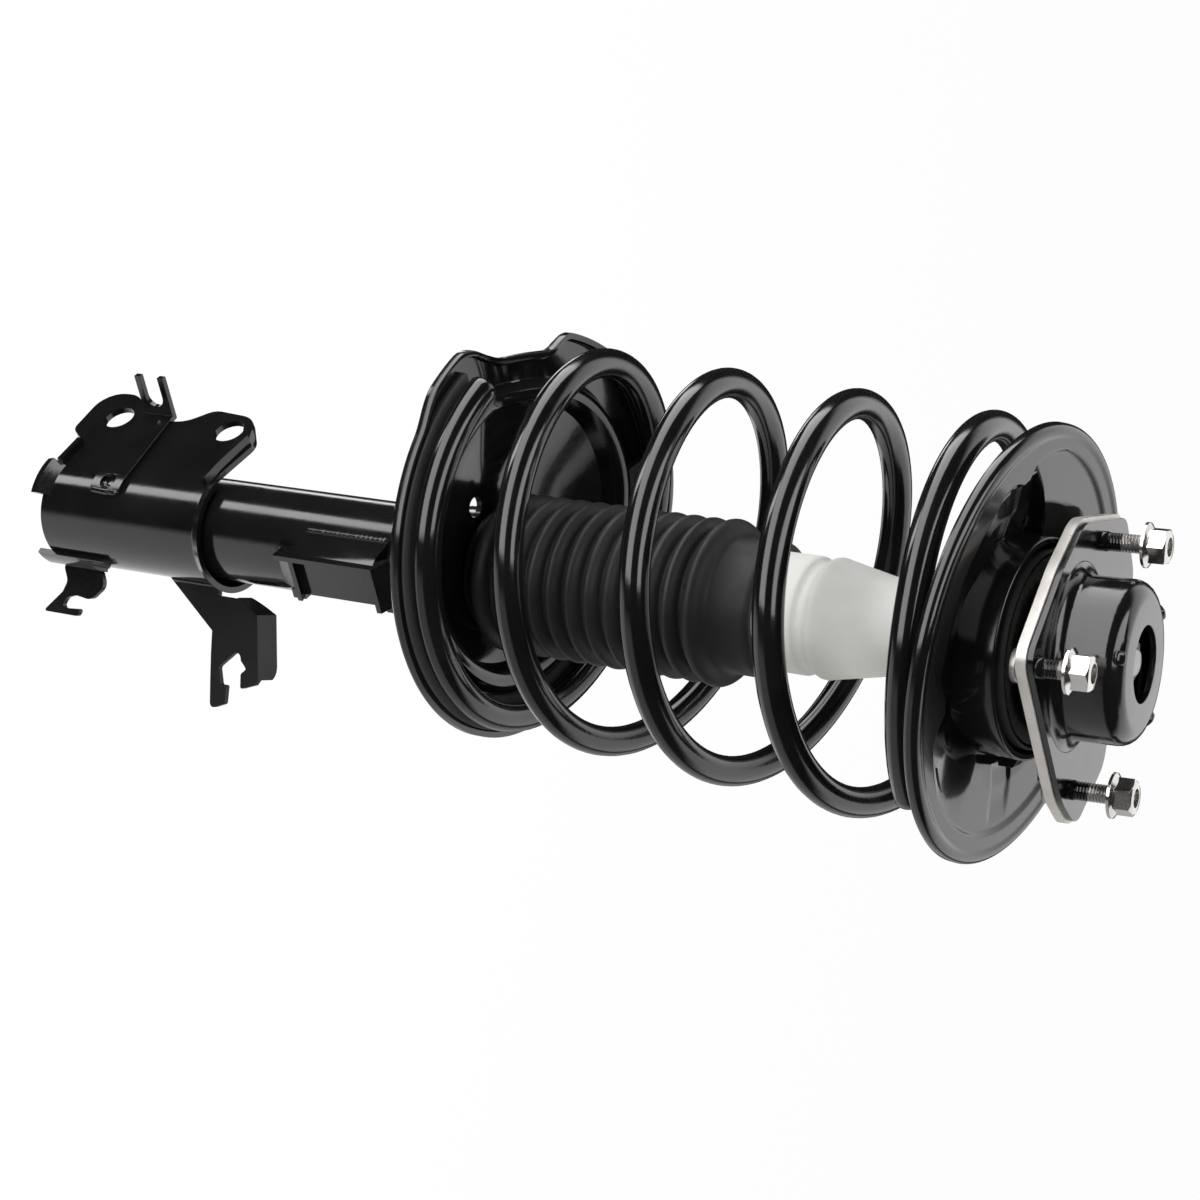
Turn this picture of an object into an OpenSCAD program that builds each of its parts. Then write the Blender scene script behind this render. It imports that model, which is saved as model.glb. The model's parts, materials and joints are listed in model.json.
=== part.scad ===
// Front suspension strut: damper, coil spring and top mount, in millimetres.
// Z runs along the damper's axis, up towards the top mount. X points outboard, at the steering knuckle.
// The origin is the middle of the access hole in the top mount's cap, on the cap's outer face.
// A depth is a distance below the origin along Z.

/* [Damper] */
// Outer diameter of the damper tube
tube_d = 46.4; // [45:0.1:48]
// Wall of the damper tube
tube_wall = 2.2; // [1.8:0.1:2.6]
// Depth of the tube's rolled-in top
tube_top = 269; // [266:0.5:273]
// Length of the damper tube
tube_len = 267; // [265:0.5:272]
// Diameter of the piston rod
rod_d = 20; // [18:0.5:22]
// Diameter of the rod's threaded neck in the top mount
rod_neck_d = 12; // [11:0.5:13]
// Bore of the inner cylinder
cylinder_bore = 32; // [30:0.5:34]
// Wall of the inner cylinder
cylinder_wall = 1.5; // [1.2:0.1:2]
// Room between the rebound stop and the piston with the strut fully extended
piston_drop = 23.5; // [15:0.5:35]

/* [Spring] */
// Diameter of the spring wire
wire_d = 12.55; // [11.5:0.05:13]
// Mean diameter of the spring
coil_d = 157.4; // [154:0.2:158]
// Sideways lean of the spring for each mm of depth
lean = 0.052; // [0.04:0.002:0.06]
// Sideways shift of the spring at the depth of the origin
lean_shift = 1.56; // [0.5:0.02:2.5]
// Direction in which the spring leans, counted from X
lean_dir = 50; // [40:1:60]
// Turns of the spring between its two seats
active_turns = 3.673; // [3.6:0.001:3.75]
// Angle at which the lower end turn starts
coil_start = 39; // [36:1:42]
// Angle at which the upper end turn stops
coil_stop = 1580; // [1570:1:1740]

/* [Top mount] */
// Tilt of the top mount against the damper's axis
mount_tilt = 6; // [4:0.5:7]
// Tilt of the upper spring seat, which faces along the leaning spring
seat_tilt = 5.5; // [4:0.5:6]
// Direction towards which the top mount tilts
tilt_dir = -25; // [-35:1:-15]
// Outer diameter of the cap
cap_d = 64; // [60:0.5:66]
// Height of the cap above the plate
cap_h = 27; // [26:0.5:28]
// Access hole in the cap
cap_hole_d = 30; // [29:0.5:32]
// Thickness of the upper plate and the cap
sheet = 2.5; // [2:0.1:3]
// Thickness of the lower plate
lower_sheet = 4; // [3:0.1:4.4]
// Distance of the first stud from the mount's axis
stud_reach_1 = 49; // [48:0.5:50]
// Distance of the second stud from the mount's axis
stud_reach_2 = 48.5; // [47.5:0.5:49.5]
// Distance of the third stud from the mount's axis
stud_reach_3 = 52; // [51:0.5:53]
// Diameter of the studs
stud_d = 8; // [7.6:0.1:8.4]
// Length of the first and third stud above the plate
stud_len = 24; // [22:0.5:26]
// Length of the plain shank of a stud above the plate
shank_len = 3; // [2:0.5:4]
// Size of the flange nuts across their flats
nut_flats = 13; // [12:0.5:14]
// Height of the flange nuts
nut_h = 9.5; // [8:0.5:11]
// Diameter of the nuts' flanges
nut_flange_d = 17.9; // [17:0.1:19]

/* [Bearing] */
// Radius of the circle of balls
ball_circle_r = 29; // [28:0.5:30]
// Diameter of the balls
ball_d = 6; // [5:0.5:6.5]
// Number of balls
ball_count = 22; // [16:1:26]

/* [Upper seat] */
// Depth of the upper seat's rim plane
seat_depth = 49.7; // [49.5:0.1:52]
// Outer diameter of the upper seat's skirt
skirt_d = 176; // [174:0.5:180]
// Depth of the skirt below the rim plane
skirt_h = 5.5; // [4.5:0.5:14]
// Depth of the stamped pockets below the rim plane
pocket_h = 8; // [6:0.5:10]
// Thickness of the upper rubber seat
upper_pad = 2; // [1.5:0.1:3]

/* [Lower seat] */
// Depth of the lower seat's floor under the end turn
floor_depth = 290.8; // [288:0.2:294]
// Depth of the floor at the top of its ramp
ramp_depth = 277; // [275:0.5:280]
// Depth of the seat's hub on the tube
hub_depth = 300; // [297:0.5:303]
// Thickness of the lower seat's sheet
pan_sheet = 2.6; // [2.2:0.1:3]
// Outer radius of the pan inside its lip
pan_r = 86; // [85.6:0.1:88]
// Thickness of the lower rubber seat
lower_pad = 3; // [2:0.1:4]

/* [Boot and bump stop] */
// Outer radius of the boot's ribs
rib_r = 34.5; // [33:0.5:36]
// Inner radius between the boot's ribs
groove_r = 28.8; // [28:0.2:30]
// Distance from rib to rib
rib_pitch = 9.4; // [8.8:0.1:10]
// Number of ribs
rib_count = 11; // [9:1:12]
// Wall of the boot
boot_wall = 1.6; // [1.2:0.1:2]
// Depth of the boot's upper end
boot_top = 158; // [155:0.5:160]
// Depth of the bump stop's lower end
stop_depth = 163.5; // [162:0.5:165]
// Radius of the bump stop's lower ring
stop_ring_r = 24.5; // [23.5:0.5:25.5]
// Largest radius of the bump stop
stop_big_r = 25; // [24:0.5:27]

/* [Knuckle bracket] */
// Thickness of the bracket's sheet
bracket_sheet = 2.8; // [2.4:0.1:3.2]
// Distance from the damper's axis to the bolt holes
hole_reach = 38.5; // [37:0.5:40]
// Distance between the two bolt holes
hole_pitch = 68; // [66:0.5:70]
// Depth of the upper bolt hole
hole_depth = 464.8; // [462:0.2:468]
// Diameter of the bolt holes
hole_d = 15; // [13:0.5:16]
// Length of the bracket's wrap above the upper hole
wrap_above = 21.3; // [19:0.1:24]
// Length of the bracket's wrap below the lower hole
wrap_below = 8.7; // [7:0.1:11]
// Width of the flared ends of the wrap
flare_h = 6; // [4:0.5:8]

/* [Small brackets] */
// Thickness of the clips' and brackets' sheet
clip_sheet = 2.5; // [2:0.1:3]
// Width of the hose fork
fork_w = 17.4; // [16:0.2:20]
// Length of the hose fork's prongs with their root
fork_len = 22; // [20:0.5:25]
// Width of the slot in the hose fork
fork_slot = 10.5; // [7:0.5:12]
// Length of the stabiliser bracket along the tube
link_len = 45; // [42:0.5:48]
// Distance from the lower seat's hub to the middle of the stabiliser bracket
link_drop = 63.5; // [60:0.5:68]
// Distance of the stabiliser bracket's panel from the damper's axis
link_reach = 30; // [28:0.5:32]

/* [Hidden] */
$fn = 96;

running = 0.05;   // radial clearance of a running fit
gap = 0.3;        // clearance between pieces that lie on each other but move apart

tube_r = tube_d / 2;
tube_in = tube_r - tube_wall;
tube_end = tube_top + tube_len;
rod_r = rod_d / 2;
neck_r = rod_neck_d / 2;
cyl_r = cylinder_bore / 2;
wire_r = wire_d / 2;
coil_r = coil_d / 2;

// Damper, from the bottom up
cup_h = 8;
cup_sheet = 3;
valve_h = 9;
guide_h = 10;
seal_h = 4;
lip_r = rod_r + 2.5;
cup_floor = tube_end - cup_sheet - 2;
valve_top = cup_floor - valve_h;
guide_top = tube_top + tube_wall + seal_h;
guide_end = guide_top + guide_h;
guide_neck_h = 6;
rebound_h = 7;
piston_depth = guide_end + guide_neck_h + gap + rebound_h + piston_drop;
piston_h = 14;
piston_neck_r = 5.5;
piston_nut_h = 7;

// Top mount, from the cap down; mount depths are counted along the mount's own tilted axis
cap_r = cap_d / 2;
cap_in = cap_r - sheet;
plate_top = cap_h;
plate_low = plate_top + sheet;
lower_low = plate_low + lower_sheet;
cap_round = 7;
cap_flare = 5;
rubber_neck_r = 20;
stud_dirs = [26, 143, -123.5];
stud_reaches = [stud_reach_1, stud_reach_2, stud_reach_3];
stud_head_r = 6.5;
stud_head_h = 2.5;
tip_recess = 3;
nut_bases = [stud_len + tip_recess - nut_h, 12, stud_len + tip_recess - nut_h];
thread_gap = 0.3;
stud_neck_r = 4.4;
rod_end = 3.5;
rod_nut_top = 6;
rod_nut_h = 9;
rod_nut_flats = 19;
washer_top = rod_nut_top + rod_nut_h;
washer_h = 2.5;
washer_r = 13.5;
sleeve_top = washer_top + washer_h;
sleeve_r = 11;
sleeve_flange_r = 30;
sleeve_flange_h = 2.5;
race_top = 39.5;
race_in = 22;
race_out = 37;
race_h = 5;
ball_depth = race_top + race_h + 1;
low_race_top = ball_depth + 1;
seat_hub_top = low_race_top + race_h;
bearing_seal_t = 2;
hub_wall_h = 5;

// Upper seat
hub_bore_r = 16;
hub_r = race_out + bearing_seal_t + 1.5;
skirt_r = skirt_d / 2;
skirt_in = skirt_r - sheet;
ring_in = skirt_in - 15;
seat_under = seat_depth + sheet;
pocket_top = seat_depth + pocket_h;
pocket_spans = [[54, 167], [270, 330]];
face_drop = 0.6;
stop_top = seat_hub_top + sheet;

// Spring
coil_high = seat_under + upper_pad + gap + wire_r;
seat_plane = seat_depth + (coil_high - seat_depth) / cos(seat_tilt);
seat_centre = (coil_high - seat_depth) * sin(seat_tilt);
coil_low = floor_depth - lower_pad - gap - wire_r;
ramp_start = 212;
pan_lobe = 5;
pan_waist = 8;
pan_hole_at = [86, 32.5];
pan_hole_r = 4.5;
pitch = (coil_low - coil_high) / active_turns;
coil_rings = 24;
coil_sides = 8;
seat_shift = lean_shift + lean * coil_low;

// Knuckle bracket
wrap_r = tube_r + bracket_sheet;
wrap_top = hole_depth - wrap_above;
wrap_end = hole_depth + hole_pitch + wrap_below;

// Points of an arc around (x, y), from angle a to angle b
function arc(x, y, r, a, b, n = 6) = [for (i = [0:n]) let (t = a + (b - a) * i / n) [x + r * cos(t), y + r * sin(t)]];
// Outline with every corner rounded; each corner is [x, y, radius] and they run anticlockwise
function rounded(c, n = 6) = [for (i = [0:len(c) - 1]) let (
    p = c[(i + len(c) - 1) % len(c)], q = c[i], s = c[(i + 1) % len(c)],
    u = unit([p[0] - q[0], p[1] - q[1]]), v = unit([s[0] - q[0], s[1] - q[1]]),
    half = acos(max(-1, min(1, u * v))) / 2,
    w = unit(u + v), m = [q[0], q[1]] + w * q[2] / sin(half),
    turn = u[0] * v[1] - u[1] * v[0] > 0 ? -1 : 1,
    a0 = atan2(-w[1], -w[0]) - turn * (90 - half))
    for (k = [0:n]) m + q[2] * [cos(a0 + turn * 2 * (90 - half) * k / n), sin(a0 + turn * 2 * (90 - half) * k / n)]];
function unit(v) = v / norm(v);
function ease(x) = let (t = max(0, min(1, x))) t * t * (3 - 2 * t);
// Smooth lower and upper bound
function soft_min(a, b, k) = let (h = max(k - abs(a - b), 0) / k) min(a, b) - h * h * k / 4;
function soft_max(a, b, k) = -soft_min(-a, -b, k);

// Triangles that skin m rings of n points; a loop joins the last ring to the first
function skin(m, n, loop) = concat(
    [for (i = [0:(loop ? m : m - 1) - 1]) for (j = [0:n - 1]) let (
        a = i * n + j, b = i * n + (j + 1) % n, c = ((i + 1) % m) * n + (j + 1) % n, d = ((i + 1) % m) * n + j)
        each [[a, b, c], [a, c, d]]],
    loop ? [] : [for (j = [1:n - 2]) [0, j + 1, j]],
    loop ? [] : [for (j = [1:n - 2]) [(m - 1) * n, (m - 1) * n + j, (m - 1) * n + j + 1]]);
function flat(rings) = [for (r = rings) each r];
function flipped(faces) = [for (f = faces) [f[2], f[1], f[0]]];

module revolve(points, from = 0, span = 360) {
    rotate([0, 0, from]) rotate_extrude(angle = span) polygon(points);
}
module disc(r, top, h) {
    translate([0, 0, -top - h]) cylinder(r = r, h = h);
}
module ring(outer, inner, top, h) {
    revolve([[inner, -top - h], [outer, -top - h], [outer, -top], [inner, -top]]);
}
// The top mount's own frame: its axis crosses the damper's axis at the origin
module in_mount() {
    rotate([0, 0, tilt_dir]) rotate([0, mount_tilt, 0]) rotate([0, 0, -tilt_dir]) children();
}
module at_stud(i) {
    in_mount() rotate([0, 0, stud_dirs[i]]) translate([stud_reaches[i], 0, -plate_top]) children();
}

// ---- Damper ----

module strut_tube() {
    color([0.05, 0.05, 0.06])
    revolve(concat([[tube_in, -tube_end], [tube_r, -tube_end]], arc(tube_r - 3, -tube_top - 3, 3, 0, 90),
        [[lip_r, -tube_top], [lip_r, -tube_top - tube_wall], [tube_in, -tube_top - tube_wall]]));
}

module base_cup() {
    color([0.05, 0.05, 0.06])
    revolve([[0, -cup_floor - cup_sheet], [tube_in - 6, -cup_floor - cup_sheet], [tube_in - 4, -tube_end],
        [tube_in, -tube_end], [tube_in, -tube_end + cup_h], [tube_in - cup_sheet, -tube_end + cup_h],
        [tube_in - cup_sheet, -cup_floor], [0, -cup_floor]]);
}

module inner_cylinder() {
    color([0.6, 0.6, 0.62])
    ring(cyl_r + cylinder_wall, cyl_r, guide_end, valve_top - guide_end);
}

module base_valve() {
    color([0.7, 0.62, 0.4])
    difference() {
        revolve([[0, -cup_floor], [tube_in - cup_sheet - gap, -cup_floor], [cyl_r + cylinder_wall, -valve_top],
            [cyl_r, -valve_top], [cyl_r, -valve_top + 4], [0, -valve_top + 4]]);
        for (a = [0:60:300])
            rotate([0, 0, a]) translate([9, 0, -cup_floor - 1]) cylinder(r = 1.6, h = valve_h + 6);
    }
}

module rod_guide() {
    color([0.55, 0.56, 0.58])
    difference() {
        union() {
            ring(tube_in, rod_r + running, guide_top, guide_h);
            ring(cyl_r, rod_r + running, guide_end, guide_neck_h);
        }
        for (a = [0:45:315])
            rotate([0, 0, a]) translate([(cyl_r + cylinder_wall + tube_in) / 2, 0, -guide_end - 1]) cylinder(r = 0.9, h = 5);
    }
}

module oil_seal() {
    color([0.15, 0.13, 0.12])
    revolve([[rod_r + running, -guide_top], [tube_in, -guide_top], [tube_in, -guide_top + seal_h],
        [rod_r + 3, -guide_top + seal_h], [rod_r + running, -guide_top + seal_h - 1.2]]);
}

module piston_rod() {
    shoulder = race_top;
    low_neck_end = piston_depth + piston_h + piston_nut_h + 3;
    color([0.8, 0.81, 0.83])
    revolve([[0, -low_neck_end], [piston_neck_r - 1, -low_neck_end], [piston_neck_r, -low_neck_end + 1],
        [piston_neck_r, -piston_depth], [rod_r, -piston_depth], [rod_r, -shoulder - 1], [rod_r - 1, -shoulder],
        [neck_r, -shoulder], [neck_r, -rod_end - 1], [neck_r - 1, -rod_end], [0, -rod_end]]);
}

module rod_nut() {
    color([0.66, 0.64, 0.56])
    difference() {
        translate([0, 0, -washer_top]) cylinder(d = rod_nut_flats / cos(30), h = rod_nut_h, $fn = 6);
        disc(neck_r, rod_nut_top - 1, rod_nut_h + 2);
    }
}

module rod_washer() {
    color([0.6, 0.6, 0.6])
    ring(washer_r, neck_r, washer_top, washer_h);
}

band_h = 8;
module piston() {
    color([0.5, 0.5, 0.5])
    revolve([[piston_neck_r, -piston_depth - piston_h], [cyl_r - 0.6, -piston_depth - piston_h],
        [cyl_r - 0.6, -piston_depth - 11], [cyl_r - 1.6, -piston_depth - 11], [cyl_r - 1.6, -piston_depth - 11 + band_h],
        [cyl_r - 0.6, -piston_depth - 11 + band_h], [cyl_r - 0.6, -piston_depth], [piston_neck_r, -piston_depth]]);
}

module piston_band() {
    color([0.25, 0.2, 0.16])
    ring(cyl_r - running, cyl_r - 1.6, piston_depth + 11 - band_h, band_h);
}

module piston_nut() {
    color([0.66, 0.64, 0.56])
    difference() {
        translate([0, 0, -piston_depth - piston_h - piston_nut_h])
            cylinder(d = 17 / cos(30), h = piston_nut_h, $fn = 6);
        disc(piston_neck_r, piston_depth + piston_h - 1, piston_nut_h + 2);
    }
}

module rebound_stop() {
    color([0.4, 0.4, 0.42])
    ring(cyl_r - 2, rod_r, guide_end + guide_neck_h + gap, rebound_h);
}

// ---- Knuckle bracket ----

// Outline of one ear, seen from its side: x outboard, second value up
function ear_outline() = let (x = hole_reach, low = -hole_depth - hole_pitch, up = -hole_depth) rounded([
    [0, -wrap_end + 1, 0.2], [x - 20, -wrap_end + 1, 5], [x - 12, low - 20, 6], [x + 17.5, low - 21, 12],
    [x + 18, low, 14], [x + 3.5, low + 13, 8], [x + 1.5, low + 38, 16], [x + 13.5, low + 50, 9], [x + 11.5, up + 6, 14],
    [x - 6, up + 20, 10], [10, -wrap_top - flare_h + 1, 8], [0, -wrap_top - flare_h, 0.2]]);

module ear(outline, thickness, start) {
    translate([0, start + thickness, 0]) rotate([90, 0, 0]) linear_extrude(thickness) polygon(outline);
}

module knuckle_bracket() {
    flange = 5;
    lip = 3;
    outline = ear_outline();
    color([0.05, 0.05, 0.06])
    difference() {
        union() {
            // The wrap round the tube, with its flared upper end
            revolve([[tube_r, -wrap_end], [wrap_r, -wrap_end], [wrap_r, -wrap_top - flare_h], [wrap_r + lip, -wrap_top],
                [wrap_r + lip - bracket_sheet, -wrap_top], [tube_r, -wrap_top - flare_h]], 90, 180);
            for (side = [0, 1]) mirror([0, side, 0]) {
                // An ear, tangent to the wrap
                ear(outline, bracket_sheet, tube_r);
                // Stiffening flanges along the ear's upper and lower edges
                translate([0, wrap_r + flange, 0]) rotate([90, 0, 0]) linear_extrude(flange + 1) polygon([
                    [0, -wrap_top - flare_h], [10, -wrap_top - flare_h], [hole_reach - 7, -hole_depth + 18],
                    [hole_reach + 2.5, -hole_depth + 12.5], [hole_reach + 1, -hole_depth + 10.5],
                    [hole_reach - 8, -hole_depth + 15.5], [9, -wrap_top - flare_h - 2.8], [0, -wrap_top - flare_h - 2.8]]);
                translate([0, wrap_r + flange - 1, 0]) rotate([90, 0, 0]) linear_extrude(flange) polygon([
                    [0, -wrap_end + 1], [hole_reach - 22, -wrap_end + 1], [hole_reach - 22, -wrap_end + 3.8], [0, -wrap_end + 3.8]]);
                // Flared corner of the wrap at the ear's root
                revolve([[wrap_r - 1, -wrap_end + 6], [wrap_r + 4, -wrap_end - 1], [wrap_r + 3, -wrap_end - 5],
                    [wrap_r + 1, -wrap_end - 5], [tube_r + 0.3, -wrap_end + 1]], 90, 38);
            }
        }
        // Bolt holes through both ears
        for (d = [hole_depth, hole_depth + hole_pitch])
            translate([hole_reach, wrap_r + 20, -d]) rotate([90, 0, 0]) cylinder(d = hole_d, h = 2 * wrap_r + 40);
    }
}

// ---- Clips and small brackets on the damper tube ----

module hose_fork_clip() {
    mid = -hole_depth - 44.2;
    bend_x = 43.5;
    skew = 5;
    color([0.05, 0.05, 0.06])
    difference() {
        union() {
            // Strap along the ear's face, and its foot round the wrap
            translate([0, wrap_r + clip_sheet, mid]) rotate([90, 0, 0]) linear_extrude(clip_sheet) polygon([
                [0, skew - fork_w / 2], [bend_x, -fork_w / 2], [bend_x, fork_w / 2], [0, skew + fork_w / 2]]);
            translate([0, 0, mid + skew - fork_w / 2]) revolve_part(wrap_r + clip_sheet, wrap_r, fork_w, 90, 24);
            // Fork bent out from the ear
            translate([bend_x, wrap_r, mid - fork_w / 2]) rotate([0, 0, -9]) {
                translate([-clip_sheet, 0, 0]) cube([clip_sheet, fork_len - fork_slot, fork_w]);
                for (z = [0, (fork_w + fork_slot) / 2])
                    translate([-clip_sheet, fork_len - fork_slot - 1, z]) cube([clip_sheet, fork_slot + 1, (fork_w - fork_slot) / 2]);
            }
        }
        // Round bottom of the fork's slot
        translate([bend_x, wrap_r, mid]) rotate([0, 0, -9]) translate([-clip_sheet - 1, fork_len - fork_slot, 0])
            rotate([0, 90, 0]) cylinder(d = fork_slot, h = clip_sheet + 2);
        // Notch in the foot
        rotate([0, 0, 114]) translate([wrap_r - 2, -4, mid + skew]) rotate([0, 90, 0]) cylinder(r = 4.2, h = 8);
    }
}

module revolve_part(outer, inner, h, from, span) {
    revolve([[inner, 0], [outer, 0], [outer, h], [inner, h]], from, span);
}

module sensor_lead_clip() {
    color([0.05, 0.05, 0.06])
    rotate([0, 0, 230]) {
        // Root tab lying on the wrap
        translate([0, 0, -wrap_end + 1]) revolve_part(wrap_r + clip_sheet, wrap_r, 33, -38, 12);
        translate([0, 0, -wrap_end + 1]) revolve_part(wrap_r + clip_sheet, wrap_r, 22, -38, 36);
        translate([0, 0, -wrap_end - 7]) revolve_part(wrap_r + clip_sheet, wrap_r, 9, -38, 22);
        // Strip standing off the wrap, bent round into a hook
        difference() {
            translate([0, -3.7, 0]) rotate([90, 0, 0]) linear_extrude(clip_sheet) polygon(rounded([
                [25, -537, 0.4], [28, -541.5, 2], [35, -538.4, 4], [40.5, -541, 4], [51, -552, 0.8], [51, -530.5, 1.2],
                [47.4, -528.5, 1], [48.4, -541, 1.6], [43, -538, 3], [41.2, -532, 3], [42.4, -523, 6], [35, -515, 5],
                [28, -518, 4], [25, -526, 0.4]], 5));
            cylinder_between(wrap_r + 1, -wrap_end - 20, -wrap_end + 60);
        }
    }
}
module cylinder_between(r, low, high) {
    translate([0, 0, low]) cylinder(r = r, h = high - low);
}

module brake_hose_bracket() {
    t = clip_sheet;
    root = wrap_r + 0.02;
    flange = 13;
    z = -wrap_top;
    color([0.05, 0.05, 0.06])
    rotate([0, 0, 230]) {
        // Web off the wrap, ending in two prongs round a slot
        translate([0, t / 2, 0]) rotate([90, 0, 0]) linear_extrude(t) polygon(concat(
            [[root, z - 36], [47.4, z - 8.2]], rounded_run([
            [57.5, z - 7.6, 2], [68.5, z - 6.6, 2], [83.5, z - 5, 2.2], [80, z + 3.4, 1.5], [71.4, z + 3.4, 0.8],
            [71.4, z, 0.8], [63.5, z - 2.2, 2], [53.5, z + 9, 2.5], [59, z + 10.4, 1.5], [62.4, z + 14, 1], [65, z + 11, 1.5],
            [72, z + 11.6, 1], [69, z + 20, 2]]),
            [[66.6, z + 21.5], [37, z + 17.2], [31, z + 5], [31, z - 6.5], [root, z - 6.5]]));
        // Side flange along the web's upper edge, folded to the far side
        intersection() {
            translate([0, flange, 0]) rotate([90, 0, 0]) linear_extrude(flange) polygon([
                [30.5, z + 4], [37, z + 17.2], [66.6, z + 21.5], [66.8, z + 19], [38.6, z + 14.8], [33.5, z + 4]]);
            translate([0, 0, z]) linear_extrude(30) polygon(rounded([
                [25, -1, 0.2], [68, -1, 0.2], [67, flange, 7], [33, flange, 8], [25, 4, 0.2]]));
        }
    }
}
// The rounded corners of a run of points, without the first and the last one's own rounding
function rounded_run(c) = let (n = len(c), r = rounded(c, 4)) concat([[c[0][0], c[0][1]]],
    [for (i = [5:(n - 1) * 5 - 1]) r[i]], [[c[n - 1][0], c[n - 1][1]]]);

module stabiliser_bracket() {
    t = clip_sheet;
    mid = -hub_depth - link_drop;
    half = link_len / 2;
    near = -14;
    far = 7;
    r = link_reach;
    fin_h = 3.5;
    color([0.05, 0.05, 0.06])
    rotate([0, 0, 172]) difference() {
        union() {
            // Panel and its two sloping end walls, pressed from one sheet
            translate([0, far, 0]) rotate([90, 0, 0]) linear_extrude(far - near) polygon([
                [21, mid - half - 15], [r - 6, mid - half - 14], [r, mid - half], [r, mid + half], [r - 6, mid + half + 6],
                [21, mid + half + 6], [21, mid + half + 3.4], [r - 6.6, mid + half + 3.4], [r - t, mid + half - 1],
                [r - t, mid - half + 1], [r - 7, mid - half - 11.6], [21, mid - half - 11.6]]);
            // Fins that stand up round the panel at both ends and along its upper edge
            for (end = [[mid - half - 1, 1], [mid + half - t + 2, -1]])
                translate([0, far + 1.5, 0]) rotate([90, 0, 0]) linear_extrude(far - near + 1.5) polygon([
                    [r - 4, end[0] - 2 * end[1]], [r - 2, end[0] - 2 * end[1]], [r + fin_h, end[0] + end[1]],
                    [r + fin_h, end[0] + t + end[1]], [r - 4, end[0] + t - 2 * end[1]]]);
            translate([r - t - 3, near, mid - half - 8]) cube([t + 3 + fin_h, t, link_len + 8]);
            // Raised tips of the end walls
            for (z = [[mid - half - 7, 7], [mid + half, 4]])
                translate([r - 12, far - 0.5, z[0]]) cube([10.5, 4.5, z[1]]);
            // Shelf from the panel back to the tube
            translate([0, 0, mid - half]) linear_extrude(link_len) polygon([
                [r, near], [r - t, near + t], [14, near - 1], [14, near - 4], [r - 3, near - 2]]);
        }
        translate([0, 0, mid - half - 30]) cylinder(r = tube_r, h = link_len + 60);
    }
}

// ---- Spring seats and spring ----

// Depth of the wire's centre at an angle along the coil
function wire_depth(a) = let (mean = coil_low - pitch * (a - ramp_start) / 360 - lean * coil_r * cos(a))
    soft_max(seat_plane - tan(seat_tilt) * (seat_centre + coil_r * cos(a)), soft_min(coil_low, mean, 8), 6);
// Sideways shift of the coil, which comes round to the tilted upper seat's own centre
function wire_shift(a) = let (seated = ease((a - 1440) / 120))
    (lean_shift + lean * wire_depth(a)) * (1 - seated) + seat_centre * seated;
function wire_point(a) = let (s = wire_shift(a)) [s * cos(lean_dir) + coil_r * cos(lean_dir + a),
    s * sin(lean_dir) + coil_r * sin(lean_dir + a), -wire_depth(a)];
coil_steps = ceil((coil_stop - coil_start) * coil_rings / 360);
function coil_angle(i) = coil_start + (coil_stop - coil_start) * i / coil_steps;
coil_line = [for (i = [0:coil_steps]) wire_point(coil_angle(i))];
// Least gap between turns, measured between points at least half a turn apart
coil_gap = min([for (i = [0:coil_steps]) for (j = [i + coil_rings / 2:1:coil_steps]) norm(coil_line[i] - coil_line[j])]) - wire_d;

module coil_spring() {
    rings = [for (i = [0:coil_steps]) let (
        a = coil_angle(i),
        run = unit(coil_line[min(i + 1, coil_steps)] - coil_line[max(i - 1, 0)]),
        out0 = [cos(lean_dir + a), sin(lean_dir + a), 0],
        out = unit(out0 - run * (out0 * run)),
        up = cross(run, out))
        [for (k = [0:coil_sides - 1]) let (t = 360 * (k + 0.5) / coil_sides) coil_line[i] + wire_r * (out * cos(t) - up * sin(t))]];
    echo(coil_gap = coil_gap);
    color([0.04, 0.04, 0.05])
    polyhedron(flat(rings), flipped(skin(coil_steps + 1, coil_sides, false)), convexity = 20);
}

// Depth of the lower seat's floor, which follows the wire up a ramp and drops back at a step
function turn(a) = (a - coil_start + 720) % 360 + coil_start;
function floor_at(a) = let (t = turn(a), f = soft_max(wire_depth(t) + wire_r + gap + lower_pad, ramp_depth, 4))
    f + (floor_depth - f) * ease((t - 366) / 26);
function lip_at(a) = let (t = turn(a)) 2.5 + 11 * ease((t - 190) / 70) * (1 - ease((t - 300) / 60));
// Outer radius of the pan, with a lobe round the wire's end and a waist before it
function pan_at(a) = let (t = turn(a)) pan_r + pan_lobe * (t < 90 ? 1 - ease((t - 50) / 14) : ease((t - 388) / 11))
    - pan_waist * ease((t - 358) / 12) * (1 - ease((t - 382) / 12));
function seat_point(a, r, share, depth) = [share * seat_shift * cos(lean_dir) + r * cos(lean_dir + a),
    share * seat_shift * sin(lean_dir) + r * sin(lean_dir + a), -depth];

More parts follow.
